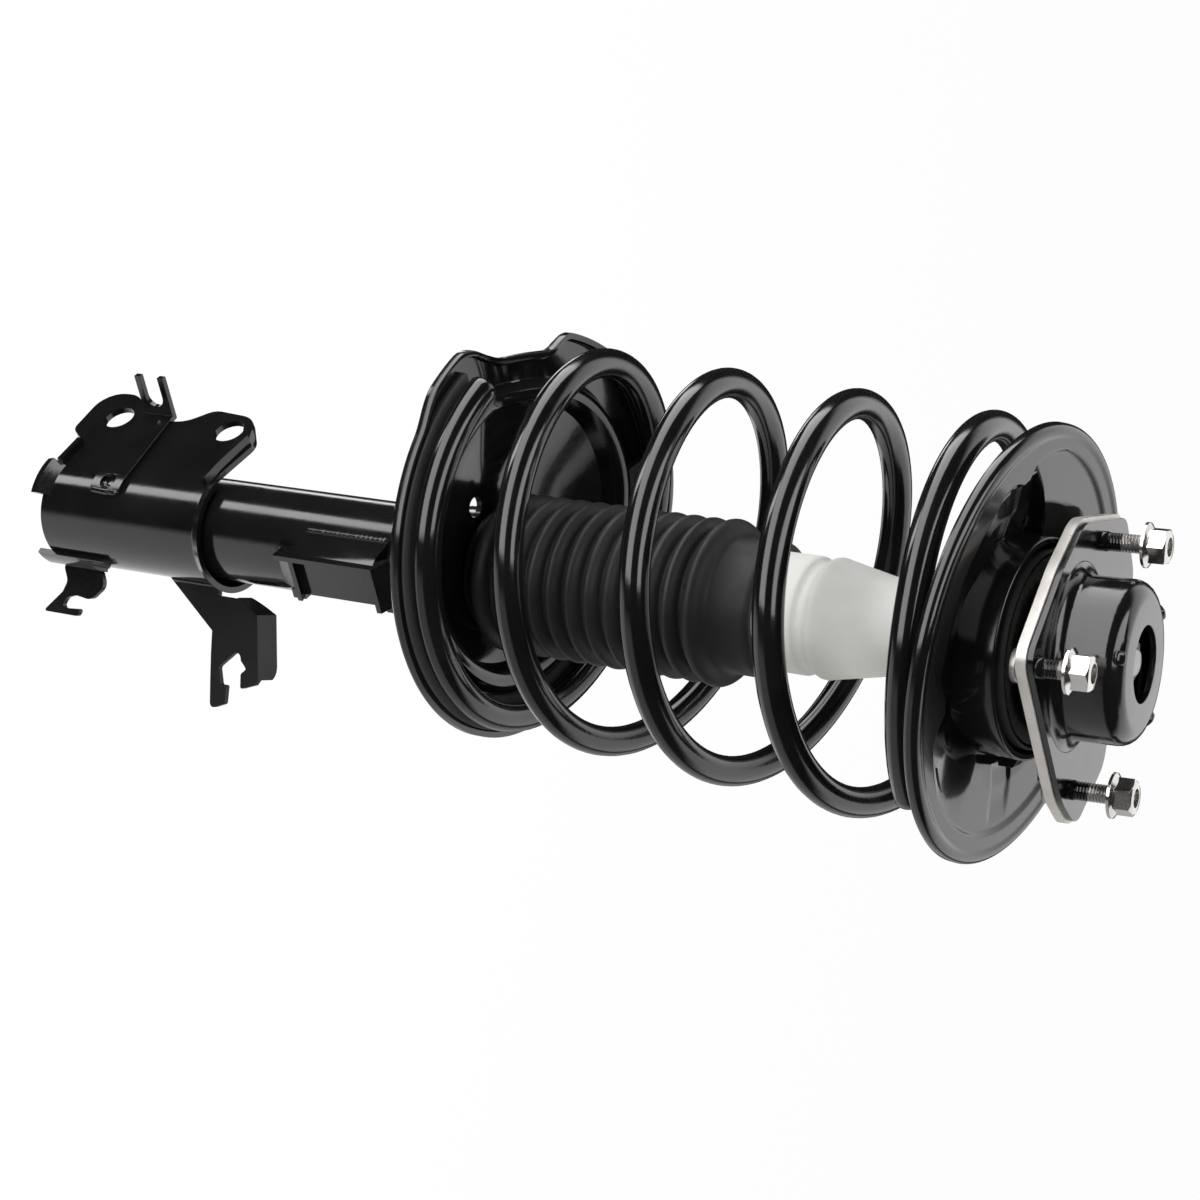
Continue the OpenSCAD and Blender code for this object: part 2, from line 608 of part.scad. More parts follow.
seat_step = 6;
module lower_spring_seat() {
    t = pan_sheet;
    rings = [for (a = [0:seat_step:360 - seat_step]) let (f = floor_at(a), lip = lip_at(a), r = pan_at(a)) [
        seat_point(a, tube_r + 0.1, 0, hub_depth), seat_point(a, 34, 0.2, hub_depth), seat_point(a, 57, 1, f + 5),
        seat_point(a, 61, 1, f - 4), seat_point(a, 66, 1, f - 4.5), seat_point(a, 69.5, 1, f), seat_point(a, r, 1, f),
        seat_point(a, r, 1, f - lip), seat_point(a, r + t, 1, f - lip), seat_point(a, r + t, 1, f + t),
        seat_point(a, 68.5, 1, f + t), seat_point(a, 65, 1, f - 4.5 + t), seat_point(a, 62, 1, f - 4 + t),
        seat_point(a, 59, 1, f + 5 + t), seat_point(a, 33, 0.2, hub_depth + t), seat_point(a, tube_r + t + 1, 0, hub_depth + t),
        seat_point(a, tube_r + t, 0, hub_depth + 14), seat_point(a, tube_r + 0.1, 0, hub_depth + 14)]];
    color([0.04, 0.04, 0.05])
    difference() {
        polyhedron(flat(rings), skin(len(rings), len(rings[0]), true), convexity = 12);
        rotate([0, 0, pan_hole_at[0]]) translate([pan_hole_at[1], 0, -hub_depth - 10]) cylinder(r = pan_hole_r, h = 30);
    }
}

pad_stop = 296;
module lower_rubber_seat() {
    n = ceil((pad_stop - coil_start) / seat_step);
    rings = [for (i = [0:n]) let (a = coil_start + (pad_stop - coil_start) * i / n, f = floor_at(a) - 0.05) [
        seat_point(a, 70.2, 1, f), seat_point(a, 70.2, 1, f - lower_pad + 0.05), seat_point(a, pan_r - 0.6, 1, f - lower_pad + 0.05),
        seat_point(a, pan_r - 0.6, 1, f)]];
    color([0.16, 0.16, 0.16])
    polyhedron(flat(rings), flipped(skin(n + 1, 4, false)), convexity = 6);
}

module on_seat() {
    translate([0, 0, -seat_depth]) rotate([0, 0, lean_dir]) rotate([0, -seat_tilt, 0]) rotate([0, 0, -lean_dir])
        translate([0, 0, seat_depth]) children();
}

module upper_spring_seat() {
    land = seat_depth + 1;
    wall_in = hub_r + 0.8;
    wall_out = wall_in + sheet;
    drop = wall_out * tan(seat_tilt) + 0.6;
    color([0.05, 0.05, 0.06])
    union() {
        // Hub under the bearing with its round wall
        revolve([[hub_bore_r, -stop_top], [wall_in, -stop_top], [wall_in, -land - sheet - drop + 0.5],
            [wall_out, -land - sheet - drop + 0.5], [wall_out, -seat_hub_top + hub_wall_h - 1],
            [wall_out - 1, -seat_hub_top + hub_wall_h], [wall_in, -seat_hub_top + hub_wall_h], [wall_in, -seat_hub_top],
            [hub_bore_r, -seat_hub_top]]);
        on_seat() difference() {
            union() {
                // Flat land, rim and skirt in one tilted sheet
                revolve(concat([[wall_out - 0.9, -land - sheet],
                    [ring_in - 4, -land - sheet], [ring_in - 1, -seat_under], [skirt_in, -seat_under],
                    [skirt_in, -seat_depth - skirt_h], [skirt_r, -seat_depth - skirt_h]],
                    arc(skirt_r - 3, -seat_depth - 3, 3, 0, 90),
                    [[skirt_in - 2, -seat_depth], [skirt_in - 3, -seat_depth - face_drop],
                    [ring_in, -seat_depth - face_drop], [ring_in - 3, -land], [wall_out - 0.9, -land]]));
                // Undersides of the pressed pockets
                for (span = pocket_spans)
                    revolve([[hub_r + 3.2, -land - 1], [hub_r + 6, -pocket_top - sheet],
                        [ring_in - 4, -pocket_top - sheet], [ring_in - 1, -land - 1]],
                        span[0] - 3, span[1] - span[0] + 6);
            }
            // Insides of the pockets
            for (span = pocket_spans)
                revolve([[hub_r + 5, -land + 1], [hub_r + 8, -pocket_top], [ring_in - 6, -pocket_top],
                    [ring_in - 3.5, -land + 1]], span[0], span[1] - span[0]);
        }
    }
}

module upper_rubber_seat() {
    color([0.12, 0.12, 0.12])
    on_seat() revolve([[ring_in + 0.3, -seat_under - 9], [ring_in + 1.3, -seat_under - 9], [ring_in + 2.4, -seat_under - upper_pad],
        [skirt_in - 0.2, -seat_under - upper_pad], [skirt_in - 0.2, -seat_under], [ring_in + 0.3, -seat_under]]);
}

// ---- Boot and bump stop ----

module bump_stop() {
    bore = rod_r + 0.6;
    ring_top = stop_depth - 22.5;
    color([0.86, 0.86, 0.82])
    revolve(concat([[bore, -stop_depth], [stop_ring_r - 2.5, -stop_depth]],
        arc(stop_ring_r - 2.5, -stop_depth + 2.5, 2.5, -90, 0), arc(stop_ring_r - 2, -ring_top - 1, 2, 0, 70),
        [[stop_ring_r - 3, -ring_top + 2.5]], arc(stop_big_r - 4, -ring_top + 9, 4, -60, 25),
        [[stop_big_r - 5.8, -ring_top + 38], [stop_big_r - 6.5, -ring_top + 45], [stop_big_r - 6.5, -stop_top - 12],
        [stop_big_r - 3, -stop_top - 8], [stop_big_r - 3, -stop_top], [bore, -stop_top]]));
}

// One rib of the boot as half-profile points, going up; z is the rib's middle
function rib(z, outer, inner, p) = [for (k = [0:7]) [inner + (outer - inner) * (1 - cos(k * 45)) / 2, z - p / 2 + p * k / 8]];
module dust_boot() {
    low = hub_depth - 1;
    first = low - 7 - rib_pitch / 2;
    big = first - rib_pitch * (rib_count - 0.5) - 6;
    neck_r = 28;
    outside = concat([[tube_r + 0.8 + boot_wall, -low], [tube_r + 0.8 + boot_wall, -low + 4]],
        [for (i = [0:rib_count - 1]) each rib(-first + rib_pitch * i, rib_r, groove_r, rib_pitch)],
        rib(-big, rib_r + 0.6, groove_r, 12));
    inside = [for (i = [len(outside) - 1:-1:0]) [outside[i][0] - boot_wall, outside[i][1]]];
    neck = [[neck_r, -boot_top - 1], [neck_r - 1, -boot_top], [stop_ring_r, -boot_top],
        [stop_ring_r, -stop_depth + 1], [neck_r - boot_wall, -stop_depth - 2]];
    color([0.09, 0.09, 0.1])
    revolve(concat(outside, neck, inside));
}

// ---- Bearing ----

module race(top, groove) {
    difference() {
        ring(race_out, race_in, top, race_h);
        rotate_extrude() translate([ball_circle_r, -ball_depth]) circle(r = ball_d / 2 + running);
    }
}
module bearing_upper_race() {
    color([0.6, 0.6, 0.62]) race(race_top);
}
module bearing_lower_race() {
    color([0.6, 0.6, 0.62]) race(low_race_top);
}
module bearing_balls() {
    color([0.85, 0.85, 0.87])
    for (i = [0:ball_count - 1])
        rotate([0, 0, 360 * i / ball_count]) translate([ball_circle_r, 0, -ball_depth]) sphere(d = ball_d);
}
module bearing_seal() {
    color([0.1, 0.1, 0.1])
    ring(race_out + gap + bearing_seal_t, race_out + gap, race_top + 1, seat_hub_top - race_top - 1);
}

// ---- Top mount ----

// Outline shared by both plates of the mount, as rounded corners
function plate_outline(grow = 0) = rounded([
    [-45 - grow, 38 + grow, 9 + grow], [-42 - grow, 2, 60], [-38 - grow, -42, 40], [-28 - grow, -66.5 - grow, 14 + grow],
    [12 + grow, -69 - grow, 14 + grow], [75 + grow, -22 - grow, 12 + grow], [76 + grow, 9 + grow, 12 + grow],
    [31 + grow, 43 + grow, 22 + grow], [0, 44 + grow, 40]]);

module stud_holes(d) {
    for (i = [0:2])
        rotate([0, 0, stud_dirs[i]]) translate([stud_reaches[i], 0, -lower_low - 1]) cylinder(d = d, h = lower_low);
}

module mount_upper_plate() {
    color([0.05, 0.05, 0.06])
    in_mount() difference() {
        translate([0, 0, -plate_low]) linear_extrude(sheet) polygon(plate_outline(-1));
        translate([0, 0, -plate_low - 1]) cylinder(r = cap_r + cap_flare, h = sheet + 2);
        stud_holes(2 * stud_neck_r);
    }
}

module mount_cap() {
    inner_round = cap_round - sheet;
    color([0.05, 0.05, 0.06])
    in_mount() revolve(concat([[cap_in, -plate_low], [cap_r + cap_flare, -plate_low], [cap_r + cap_flare, -plate_top]],
        arc(cap_r + cap_flare, -plate_top + cap_flare, cap_flare, 270, 180), arc(cap_r - cap_round, -cap_round, cap_round, 0, 90),
        [[cap_hole_d / 2, 0], [cap_hole_d / 2, -sheet]], arc(cap_r - cap_round, -cap_round, inner_round, 90, 0)));
}

module mount_lower_plate() {
    color([0.74, 0.71, 0.62])
    in_mount() difference() {
        translate([0, 0, -lower_low]) linear_extrude(lower_sheet) polygon(plate_outline());
        translate([0, 0, -lower_low - 1]) cylinder(r = rubber_neck_r, h = lower_sheet + 2);
        stud_holes(2 * stud_neck_r);
    }
}

module mount_rubber() {
    flange_top = race_top - sleeve_flange_h;
    color([0.08, 0.08, 0.08])
    difference() {
        in_mount() union() {
            disc(cap_in, sleeve_top + 3, plate_low - sleeve_top - 3);
            disc(rubber_neck_r, plate_low - 1, lower_sheet + 2);
            disc(sleeve_flange_r, lower_low, 12);
        }
        disc(100, flange_top, 60);
        disc(sleeve_r, sleeve_top - 2, 60);
    }
}

module mount_inner_sleeve() {
    color([0.55, 0.55, 0.57])
    revolve([[neck_r, -race_top], [sleeve_flange_r, -race_top], [sleeve_flange_r, -race_top + sleeve_flange_h],
        [sleeve_r, -race_top + sleeve_flange_h], [sleeve_r, -sleeve_top], [neck_r, -sleeve_top]]);
}

module mount_studs() {
    color([0.6, 0.58, 0.5])
    for (i = [0:2]) at_stud(i) {
        translate([0, 0, -sheet - lower_sheet - stud_head_h]) cylinder(r = stud_head_r, h = stud_head_h);
        translate([0, 0, -sheet - lower_sheet]) cylinder(r = stud_neck_r, h = sheet + lower_sheet);
        cylinder(d = stud_d, h = shank_len);
        tip = nut_bases[i] + nut_h - tip_recess;
        translate([0, 0, shank_len]) cylinder(d = stud_d - 2 * thread_gap, h = tip - shank_len - 1);
        translate([0, 0, tip - 1]) cylinder(d1 = stud_d - 2 * thread_gap, d2 = stud_d - 2, h = 1);
    }
}

module flange_nut(i) {
    color([0.82, 0.8, 0.72])
    at_stud(i) translate([0, 0, nut_bases[i]]) difference() {
        union() {
            cylinder(d = nut_flange_d, h = 1.2);
            translate([0, 0, 1.2]) cylinder(d1 = nut_flange_d, d2 = nut_flats, h = 1.6);
            intersection() {
                cylinder(d = nut_flats / cos(30), h = nut_h, $fn = 6);
                union() {
                    cylinder(d = nut_flats / cos(30) + 1, h = nut_h - 1.2);
                    translate([0, 0, nut_h - 1.2]) cylinder(d1 = nut_flats / cos(30) + 0.4, d2 = nut_flats - 1.5, h = 1.2);
                }
            }
        }
        translate([0, 0, -1]) cylinder(d = stud_d - 2 * thread_gap + 2 * running, h = nut_h + 2);
    }
}
module flange_nut_1() { flange_nut(0); }
module flange_nut_2() { flange_nut(1); }
module flange_nut_3() { flange_nut(2); }

strut_tube();
base_cup();
inner_cylinder();
base_valve();
rod_guide();
oil_seal();
knuckle_bracket();
hose_fork_clip();
sensor_lead_clip();
brake_hose_bracket();
stabiliser_bracket();
lower_spring_seat();
lower_rubber_seat();
coil_spring();
dust_boot();
bump_stop();
upper_rubber_seat();
upper_spring_seat();
bearing_lower_race();
bearing_balls();
bearing_upper_race();
bearing_seal();
mount_lower_plate();
mount_upper_plate();
mount_cap();
mount_rubber();
mount_inner_sleeve();
mount_studs();
piston_rod();
rod_nut();
rod_washer();
piston();
piston_band();
piston_nut();
rebound_stop();
flange_nut_1();
flange_nut_2();
flange_nut_3();
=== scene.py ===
"""Looks of the strut assembly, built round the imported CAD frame. Sizes in mm are made metres by MM."""

import json
import math

import bmesh
import bpy
import numpy as np
from mathutils import Matrix, Vector

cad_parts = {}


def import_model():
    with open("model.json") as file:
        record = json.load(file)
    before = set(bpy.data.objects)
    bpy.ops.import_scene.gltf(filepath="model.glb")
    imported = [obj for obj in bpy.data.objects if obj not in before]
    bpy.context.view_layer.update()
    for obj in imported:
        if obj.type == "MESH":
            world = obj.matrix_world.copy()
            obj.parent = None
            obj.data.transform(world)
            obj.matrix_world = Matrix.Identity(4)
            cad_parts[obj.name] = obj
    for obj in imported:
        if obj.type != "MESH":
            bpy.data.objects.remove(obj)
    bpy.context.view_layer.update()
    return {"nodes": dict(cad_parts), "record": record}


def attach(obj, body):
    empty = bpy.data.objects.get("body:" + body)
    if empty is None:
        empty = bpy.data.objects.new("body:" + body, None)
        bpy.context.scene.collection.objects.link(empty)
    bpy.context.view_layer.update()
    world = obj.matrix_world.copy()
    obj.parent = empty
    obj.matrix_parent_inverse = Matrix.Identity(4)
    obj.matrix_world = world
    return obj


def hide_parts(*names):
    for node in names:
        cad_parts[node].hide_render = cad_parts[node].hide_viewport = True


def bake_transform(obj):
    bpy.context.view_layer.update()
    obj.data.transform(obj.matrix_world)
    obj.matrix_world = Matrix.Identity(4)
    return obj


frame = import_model()
NODES = frame["nodes"]
MM = 0.001
scene = bpy.context.scene

# The studio camera: where it stands, in metres, and its directions in the row frame
EYE = Vector((-0.7412, 0.7197, 0.3916))
RIGHT = Vector((0.474, -0.257, 0.842))
UP = Vector((0.638, 0.760, -0.127))
BACK = Vector((-0.607, 0.597, 0.524))
LENS = 85.85
SENSOR = 36

# Sizes that the source also has, in mm and degrees
TUBE_R = 23.2
WRAP_R = 26.0
WIRE_R = 12.55 / 2
COIL_R = 157.4 / 2
LEAN, LEAN_SHIFT, LEAN_DIR = 0.052, 1.56, 50
COIL_HIGH, COIL_LOW = 60.775, 281.225
ACTIVE_TURNS, RAMP_START = 3.673, 212
COIL_START, COIL_STOP = 39, 1580
GAP = 0.3
SHEET, LOWER_SHEET = 2.5, 4
SHEETS = SHEET + LOWER_SHEET
SEAT_DEPTH, SEAT_TILT = 49.7, math.radians(5.5)
SEAT_PLANE = SEAT_DEPTH + (COIL_HIGH - SEAT_DEPTH) / math.cos(SEAT_TILT)
SEAT_CENTRE = (COIL_HIGH - SEAT_DEPTH) * math.sin(SEAT_TILT)
SEAT_RING_IN, SEAT_RIM_R, SKIRT_H, FACE_DROP = 70.5, 88, 5.5, 0.6
HUB_TOP, HUB_UNDER, HUB_BORE_R = 51.5, 54.0, 16
FLOOR_DEPTH, RAMP_DEPTH, HUB_DEPTH = 290.8, 277, 300
PAN_SHEET, PAN_R, PAN_LOBE, PAN_WAIST = 2.6, 86, 5, 8
PAN_HOLE_AT, PAN_HOLE_REACH, PAN_HOLE_R = 86, 32.5, 4.5
LOWER_PAD, PAD_STOP = 3, 296
BOOT_TOP, STOP_DEPTH, STOP_RING_R = 158, 163.5, 24.5
RIB_R, GROOVE_R, RIB_PITCH, RIB_COUNT, BOOT_WALL = 34.5, 28.8, 9.4, 11, 1.6
MOUNT_TILT, TILT_DIR = 6, -25
CAP_H, CAP_R = 27, 32
STUD_DIRS, STUD_REACHES, STUD_LENS = (26, 143, -123.5), (49, 48.5, 52), (24, 18.5, 24)
HEAD_R, HEAD_H, NECK_R, SHANK_R, SHANK_LEN = 6.5, 2.5, 4.4, 4.0, 3

# Sizes of the forms that the scene adds or draws finer, in mm and degrees
WALL_IN, WALL_OUT, WALL_TOP = 41.3, 43.8, 42.5
RIM_ROUND = 3
LIP_STEP, LIP_WIDTH = 1.5, 2.4
LIP = (     # azimuth and reach
    (0, 77), (30, 78), (47, 79), (59, 77.4), (67, 75.9), (69.5, 72.5), (72, 70.3), (76, 69.9), (79, 72.3),
    (82.5, 73.6), (88, 74), (96, 71.8), (108, 70.8), (118, 71.6), (130, 70.8), (140, 69.5), (150, 70),
    (155, 66.5), (158.5, 63.8), (163, 64.2), (166, 69), (171, 74), (190, 77), (360, 77),
)
POCKETS, POCKET_EDGE = ((63, 170), (270, 330)), 1.5
POCKET_SKEWS, SKEW_REACHES = ((0.68, -0.3), (0, 0)), (69, 66)
POCKET_DROP, POCKET_SLOPE = 1.6, 0.19
DISH_LEAD, DISH_RISE, DISH_HOLD, DISH_FADE, DISH_SLOPE = 3, 4, 14, 30, 0.20
INNER_REACH, INNER_SLOPE = 57, 0.14
CHANNEL_AT, CHANNEL_HALF, CHANNEL_FLANK, CHANNEL_DROP = 240, 9, 2.6, 0.9
CHANNEL_START, CHANNEL_RISE, CHANNEL_STOP, CHANNEL_FADE = 47, 4, 62, 12
THREAD_R, THREAD_PITCH, THREAD_DEPTH, DARK_SHANK = 3.7, 1.25, 0.32, 8.5
STAKE_AZIMUTHS = (1, 134, -88)


# ---- Materials ----

class Nodes:
    """Short ways to add the nodes of one material."""

    def __init__(self, name):
        self.mat = bpy.data.materials.new(name)
        self.mat.use_nodes = True
        self.tree = self.mat.node_tree
        self.bsdf = self.tree.nodes["Principled BSDF"]
        self.coords = self.tree.nodes.new("ShaderNodeTexCoord").outputs["Object"]

    def link(self, a, b):
        self.tree.links.new(a, b)

    def set(self, **values):
        for name, value in values.items():
            self.bsdf.inputs[name.replace("_", " ")].default_value = value

    def noise(self, scale, detail, rough=0.5, stretch=None):
        n = self.tree.nodes.new("ShaderNodeTexNoise")
        n.inputs["Scale"].default_value = scale
        n.inputs["Detail"].default_value = detail
        n.inputs["Roughness"].default_value = rough
        source = self.coords
        if stretch:
            m = self.tree.nodes.new("ShaderNodeMapping")
            m.inputs["Scale"].default_value = stretch
            self.link(source, m.inputs["Vector"])
            source = m.outputs["Vector"]
        self.link(source, n.inputs["Vector"])
        return n.outputs["Fac"]

    def cells(self, scale):
        n = self.tree.nodes.new("ShaderNodeTexVoronoi")
        n.inputs["Scale"].default_value = scale
        self.link(self.coords, n.inputs["Vector"])
        return n.outputs["Distance"]

    def ranged(self, value, low, high, new_low, new_high):
        n = self.tree.nodes.new("ShaderNodeMapRange")
        limits = {"From Min": low, "From Max": high, "To Min": new_low, "To Max": new_high}
        for name, limit in limits.items():
            n.inputs[name].default_value = limit
        self.link(value, n.inputs["Value"])
        return n.outputs["Result"]

    def colours(self, fac, *stops):
        n = self.tree.nodes.new("ShaderNodeValToRGB")
        ramp = n.color_ramp
        while len(ramp.elements) < len(stops):
            ramp.elements.new(0.5)
        for element, (place, colour) in zip(ramp.elements, stops):
            element.position = place
            element.color = (*colour, 1)
        self.link(fac, n.inputs["Fac"])
        self.link(n.outputs["Color"], self.bsdf.inputs["Base Color"])

    def rough(self, fac, low, high):
        self.link(self.ranged(fac, 0.3, 0.7, low, high), self.bsdf.inputs["Roughness"])

    def bumps(self, *layers):
        """Each layer is (height, strength, distance in metres)."""
        normal = None
        for height, strength, distance in layers:
            n = self.tree.nodes.new("ShaderNodeBump")
            n.inputs["Strength"].default_value = strength
            n.inputs["Distance"].default_value = distance
            self.link(height, n.inputs["Height"])
            if normal:
                self.link(normal, n.inputs["Normal"])
            normal = n.outputs["Normal"]
        self.link(normal, self.bsdf.inputs["Normal"])
        return self.mat


def grey(v, warm=0.0):
    return (v * (1 + warm), v, v * (1 - warm))


def black_coat(name, dark, light, low, high, peel, shine=0.5):
    n = Nodes(name)
    n.set(Specular_IOR_Level=shine, Coat_Weight=shine / 2, Coat_Roughness=0.06)
    n.colours(n.noise(38, 4), (0.3, grey(dark)), (0.62, grey(light)), (0.78, grey(light * 1.5, 0.03)))
    n.rough(n.noise(60, 5), low, high)
    return n.bumps((n.noise(420, 2), peel, 0.0006), (n.noise(2600, 2), 0.04, 0.0002))


def rubber(name, colour, low, high, grain):
    n = Nodes(name)
    n.set(Specular_IOR_Level=0.35)
    n.colours(n.noise(45, 5), (0.3, grey(colour * 0.8)), (0.6, grey(colour)),
              (0.8, grey(colour * 1.35, 0.02)))
    n.rough(n.noise(120, 4), low, high)
    return n.bumps((n.noise(1500, 3), grain, 0.0003), (n.noise(220, 3), 0.12, 0.0005))


def metal(name, colour, low, high, warm, stretch, bump, metallic=1.0):
    n = Nodes(name)
    n.set(Metallic=metallic)
    n.colours(n.noise(55, 5), (0.3, grey(colour * 0.82, warm * 1.4)), (0.55, grey(colour, warm)),
              (0.8, grey(colour * 1.06, warm * 0.7)))
    n.rough(n.noise(240, 5, 0.6, stretch), low, high)
    return n.bumps((n.noise(900, 4, 0.6, stretch), bump, 0.0002))


def foam(name):
    n = Nodes(name)
    n.set(Specular_IOR_Level=0.3)
    n.colours(n.noise(60, 3), (0.3, (0.66, 0.66, 0.63)), (0.6, (0.71, 0.71, 0.68)),
              (0.8, (0.74, 0.74, 0.71)))
    n.rough(n.noise(200, 3), 0.65, 0.85)
    return n.bumps((n.cells(900), 0.12, 0.0003), (n.noise(160, 3), 0.08, 0.0005))


FINISH = {
    "black_coat": black_coat("gloss_black_coat", 0.004, 0.007, 0.10, 0.18, 0.05),
    "bracket_coat": black_coat("bracket_black_coat", 0.004, 0.007, 0.3, 0.42, 0.05, 0.24),
    "spring_coat": black_coat("spring_black_coat", 0.004, 0.007, 0.10, 0.16, 0.04),
    "black_rubber": rubber("moulded_black_rubber", 0.016, 0.42, 0.58, 0.10),
    "grey_rubber": rubber("seat_grey_rubber", 0.050, 0.72, 0.88, 0.35),
    "stop_foam": foam("off_white_polyurethane"),
    "zinc_plate": metal("warm_zinc_plating", 0.62, 0.26, 0.42, 0.05, (1, 1, 1), 0.10, 0.5),
    "nut_plate": metal("bright_nut_plating", 0.66, 0.08, 0.2, 0.03, (1, 1, 1), 0.06, 0.97),
    "bare_steel": metal("machined_steel", 0.32, 0.25, 0.40, 0.0, (1, 1, 12), 0.12),
    "sintered_steel": metal("sintered_steel", 0.30, 0.45, 0.62, 0.01, (1, 1, 1), 0.30),
    "rod_chrome": metal("hard_chrome", 0.80, 0.05, 0.12, 0.0, (1, 1, 10), 0.02),
    "band_plastic": rubber("sliding_band", 0.150, 0.40, 0.55, 0.10),
    "thread_plate": metal("dark_thread_plating", 0.38, 0.28, 0.42, 0.04, (1, 1, 1), 0.12, 0.8),
}


# ---- Pieces ----

def add_object(name, mesh, material):
    mesh.materials.append(material)
    obj = bpy.data.objects.new(name, mesh)
    scene.collection.objects.link(obj)
    return obj


def mesh_object(name, points, faces, material, smooth=True):
    mesh = bpy.data.meshes.new(name)
    mesh.from_pydata([tuple(float(c) * MM for c in p) for p in points], [], faces)
    mesh.validate()
    bm = bmesh.new()
    bm.from_mesh(mesh)
    bmesh.ops.recalc_face_normals(bm, faces=bm.faces)
    bm.to_mesh(mesh)
    bm.free()
    if smooth:
        mesh.shade_smooth()
    return add_object(name, mesh, FINISH[material])


def round_edges(obj, width, angle):
    """A small bevel, in mm, on the edges that turn by more than an angle."""
    edge = obj.modifiers.new("edges", "BEVEL")
    edge.width, edge.segments = width * MM, 3
    edge.limit_method, edge.angle_limit = "ANGLE", math.radians(angle)


def skin(rings, closed=False):
    """Points and faces that join rings of equal length, with both ends filled unless closed."""
    n, m = len(rings[0]), len(rings)
    points = [p for ring in rings for p in ring]
    faces = [(i * n + j, i * n + (j + 1) % n, ((i + 1) % m) * n + (j + 1) % n, ((i + 1) % m) * n + j)
             for i in range(m if closed else m - 1) for j in range(n)]
    if not closed:
        faces += [tuple(range(n))[::-1], tuple(range((m - 1) * n, m * n))]
    return points, faces


def soft_min(a, b, k):
    """The lesser of two values, rounded off where they are less than k apart."""
    h = max(k - abs(a - b), 0) / k
    return min(a, b) - h * h * k / 4


def ease(x):
    """0 below 0 and 1 above 1, with a smooth rise between."""
    t = max(0.0, min(1.0, x))
    return t * t * (3 - 2 * t)


def wire_depth(angle):
    """Depth of the wire's centre: the free turns, and an end turn on each seat, the upper one tilted."""
    low_blend, seat_blend = 8, 6
    pitch = (COIL_LOW - COIL_HIGH) / ACTIVE_TURNS
    mean = COIL_LOW - pitch * (angle - RAMP_START) / 360 - LEAN * COIL_R * math.cos(math.radians(angle))
    seated = SEAT_PLANE - math.tan(SEAT_TILT) * (SEAT_CENTRE + COIL_R * math.cos(math.radians(angle)))
    return -soft_min(-seated, -soft_min(COIL_LOW, mean, low_blend), seat_blend)


def wire_point(angle):
    depth = wire_depth(angle)
    seat_from, seat_rise = 1440, 120
    seated = ease((angle - seat_from) / seat_rise)
    shift = (LEAN_SHIFT + LEAN * depth) * (1 - seated) + SEAT_CENTRE * seated
    lean, turn = math.radians(LEAN_DIR), math.radians(LEAN_DIR + angle)
    return np.array([shift * math.cos(lean) + COIL_R * math.cos(turn),
                     shift * math.sin(lean) + COIL_R * math.sin(turn), -depth])


def coil_spring():
    per_turn, sides, chamfer = 120, 32, 0.8
    count = int((COIL_STOP - COIL_START) * per_turn / 360)
    angles = [COIL_START + (COIL_STOP - COIL_START) * i / count for i in range(count + 1)]
    line = [wire_point(a) for a in angles]
    rings, weights = [], []
    for i, (a, p) in enumerate(zip(angles, line)):
        run = line[min(i + 1, count)] - line[max(i - 1, 0)]
        run /= np.linalg.norm(run)
        out = np.array([math.cos(math.radians(LEAN_DIR + a)), math.sin(math.radians(LEAN_DIR + a)), 0])
        out -= run * (out @ run)
        out /= np.linalg.norm(out)
        side = np.cross(run, out)
        ends = [(p, WIRE_R)]
        if i == 0:
            ends = [(p, WIRE_R - chamfer), (p + run * chamfer, WIRE_R)]
        if i == count:
            ends = [(p - run * chamfer, WIRE_R), (p, WIRE_R - chamfer)]
        for centre, r in ends:
            rings.append([centre + r * (out * math.cos(t) + side * math.sin(t))
                          for t in (2 * math.pi * k / sides for k in range(sides))])
            share = (-p[2] - COIL_HIGH) / (COIL_LOW - COIL_HIGH)
            weights += [min(1.0, max(0.0, share))] * sides
    obj = mesh_object("spring_wire", *skin(rings), "spring_coat")
    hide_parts("coil_spring")
    between_seats(obj)


def between_seats(obj):
    """Bakes obj's transform into its mesh, and nothing more."""
    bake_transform(obj)


def lathe(profile, steps):
    """Rings of a closed profile of (radius, height) turned about Z."""
    return [[(r * math.cos(a), r * math.sin(a), z) for r, z in profile]
            for a in (2 * math.pi * i / steps for i in range(steps))]


def boot_rib(z, outer, pitch):
    """Outline points of one rounded rib, from groove to groove."""
    fine, fullness = 14, 0.8
    swells = [math.sin(math.pi * k / fine) ** fullness for k in range(fine)]
    return [(GROOVE_R + (outer - GROOVE_R) * swell, z - pitch / 2 + pitch * k / fine)
            for k, swell in enumerate(swells)]


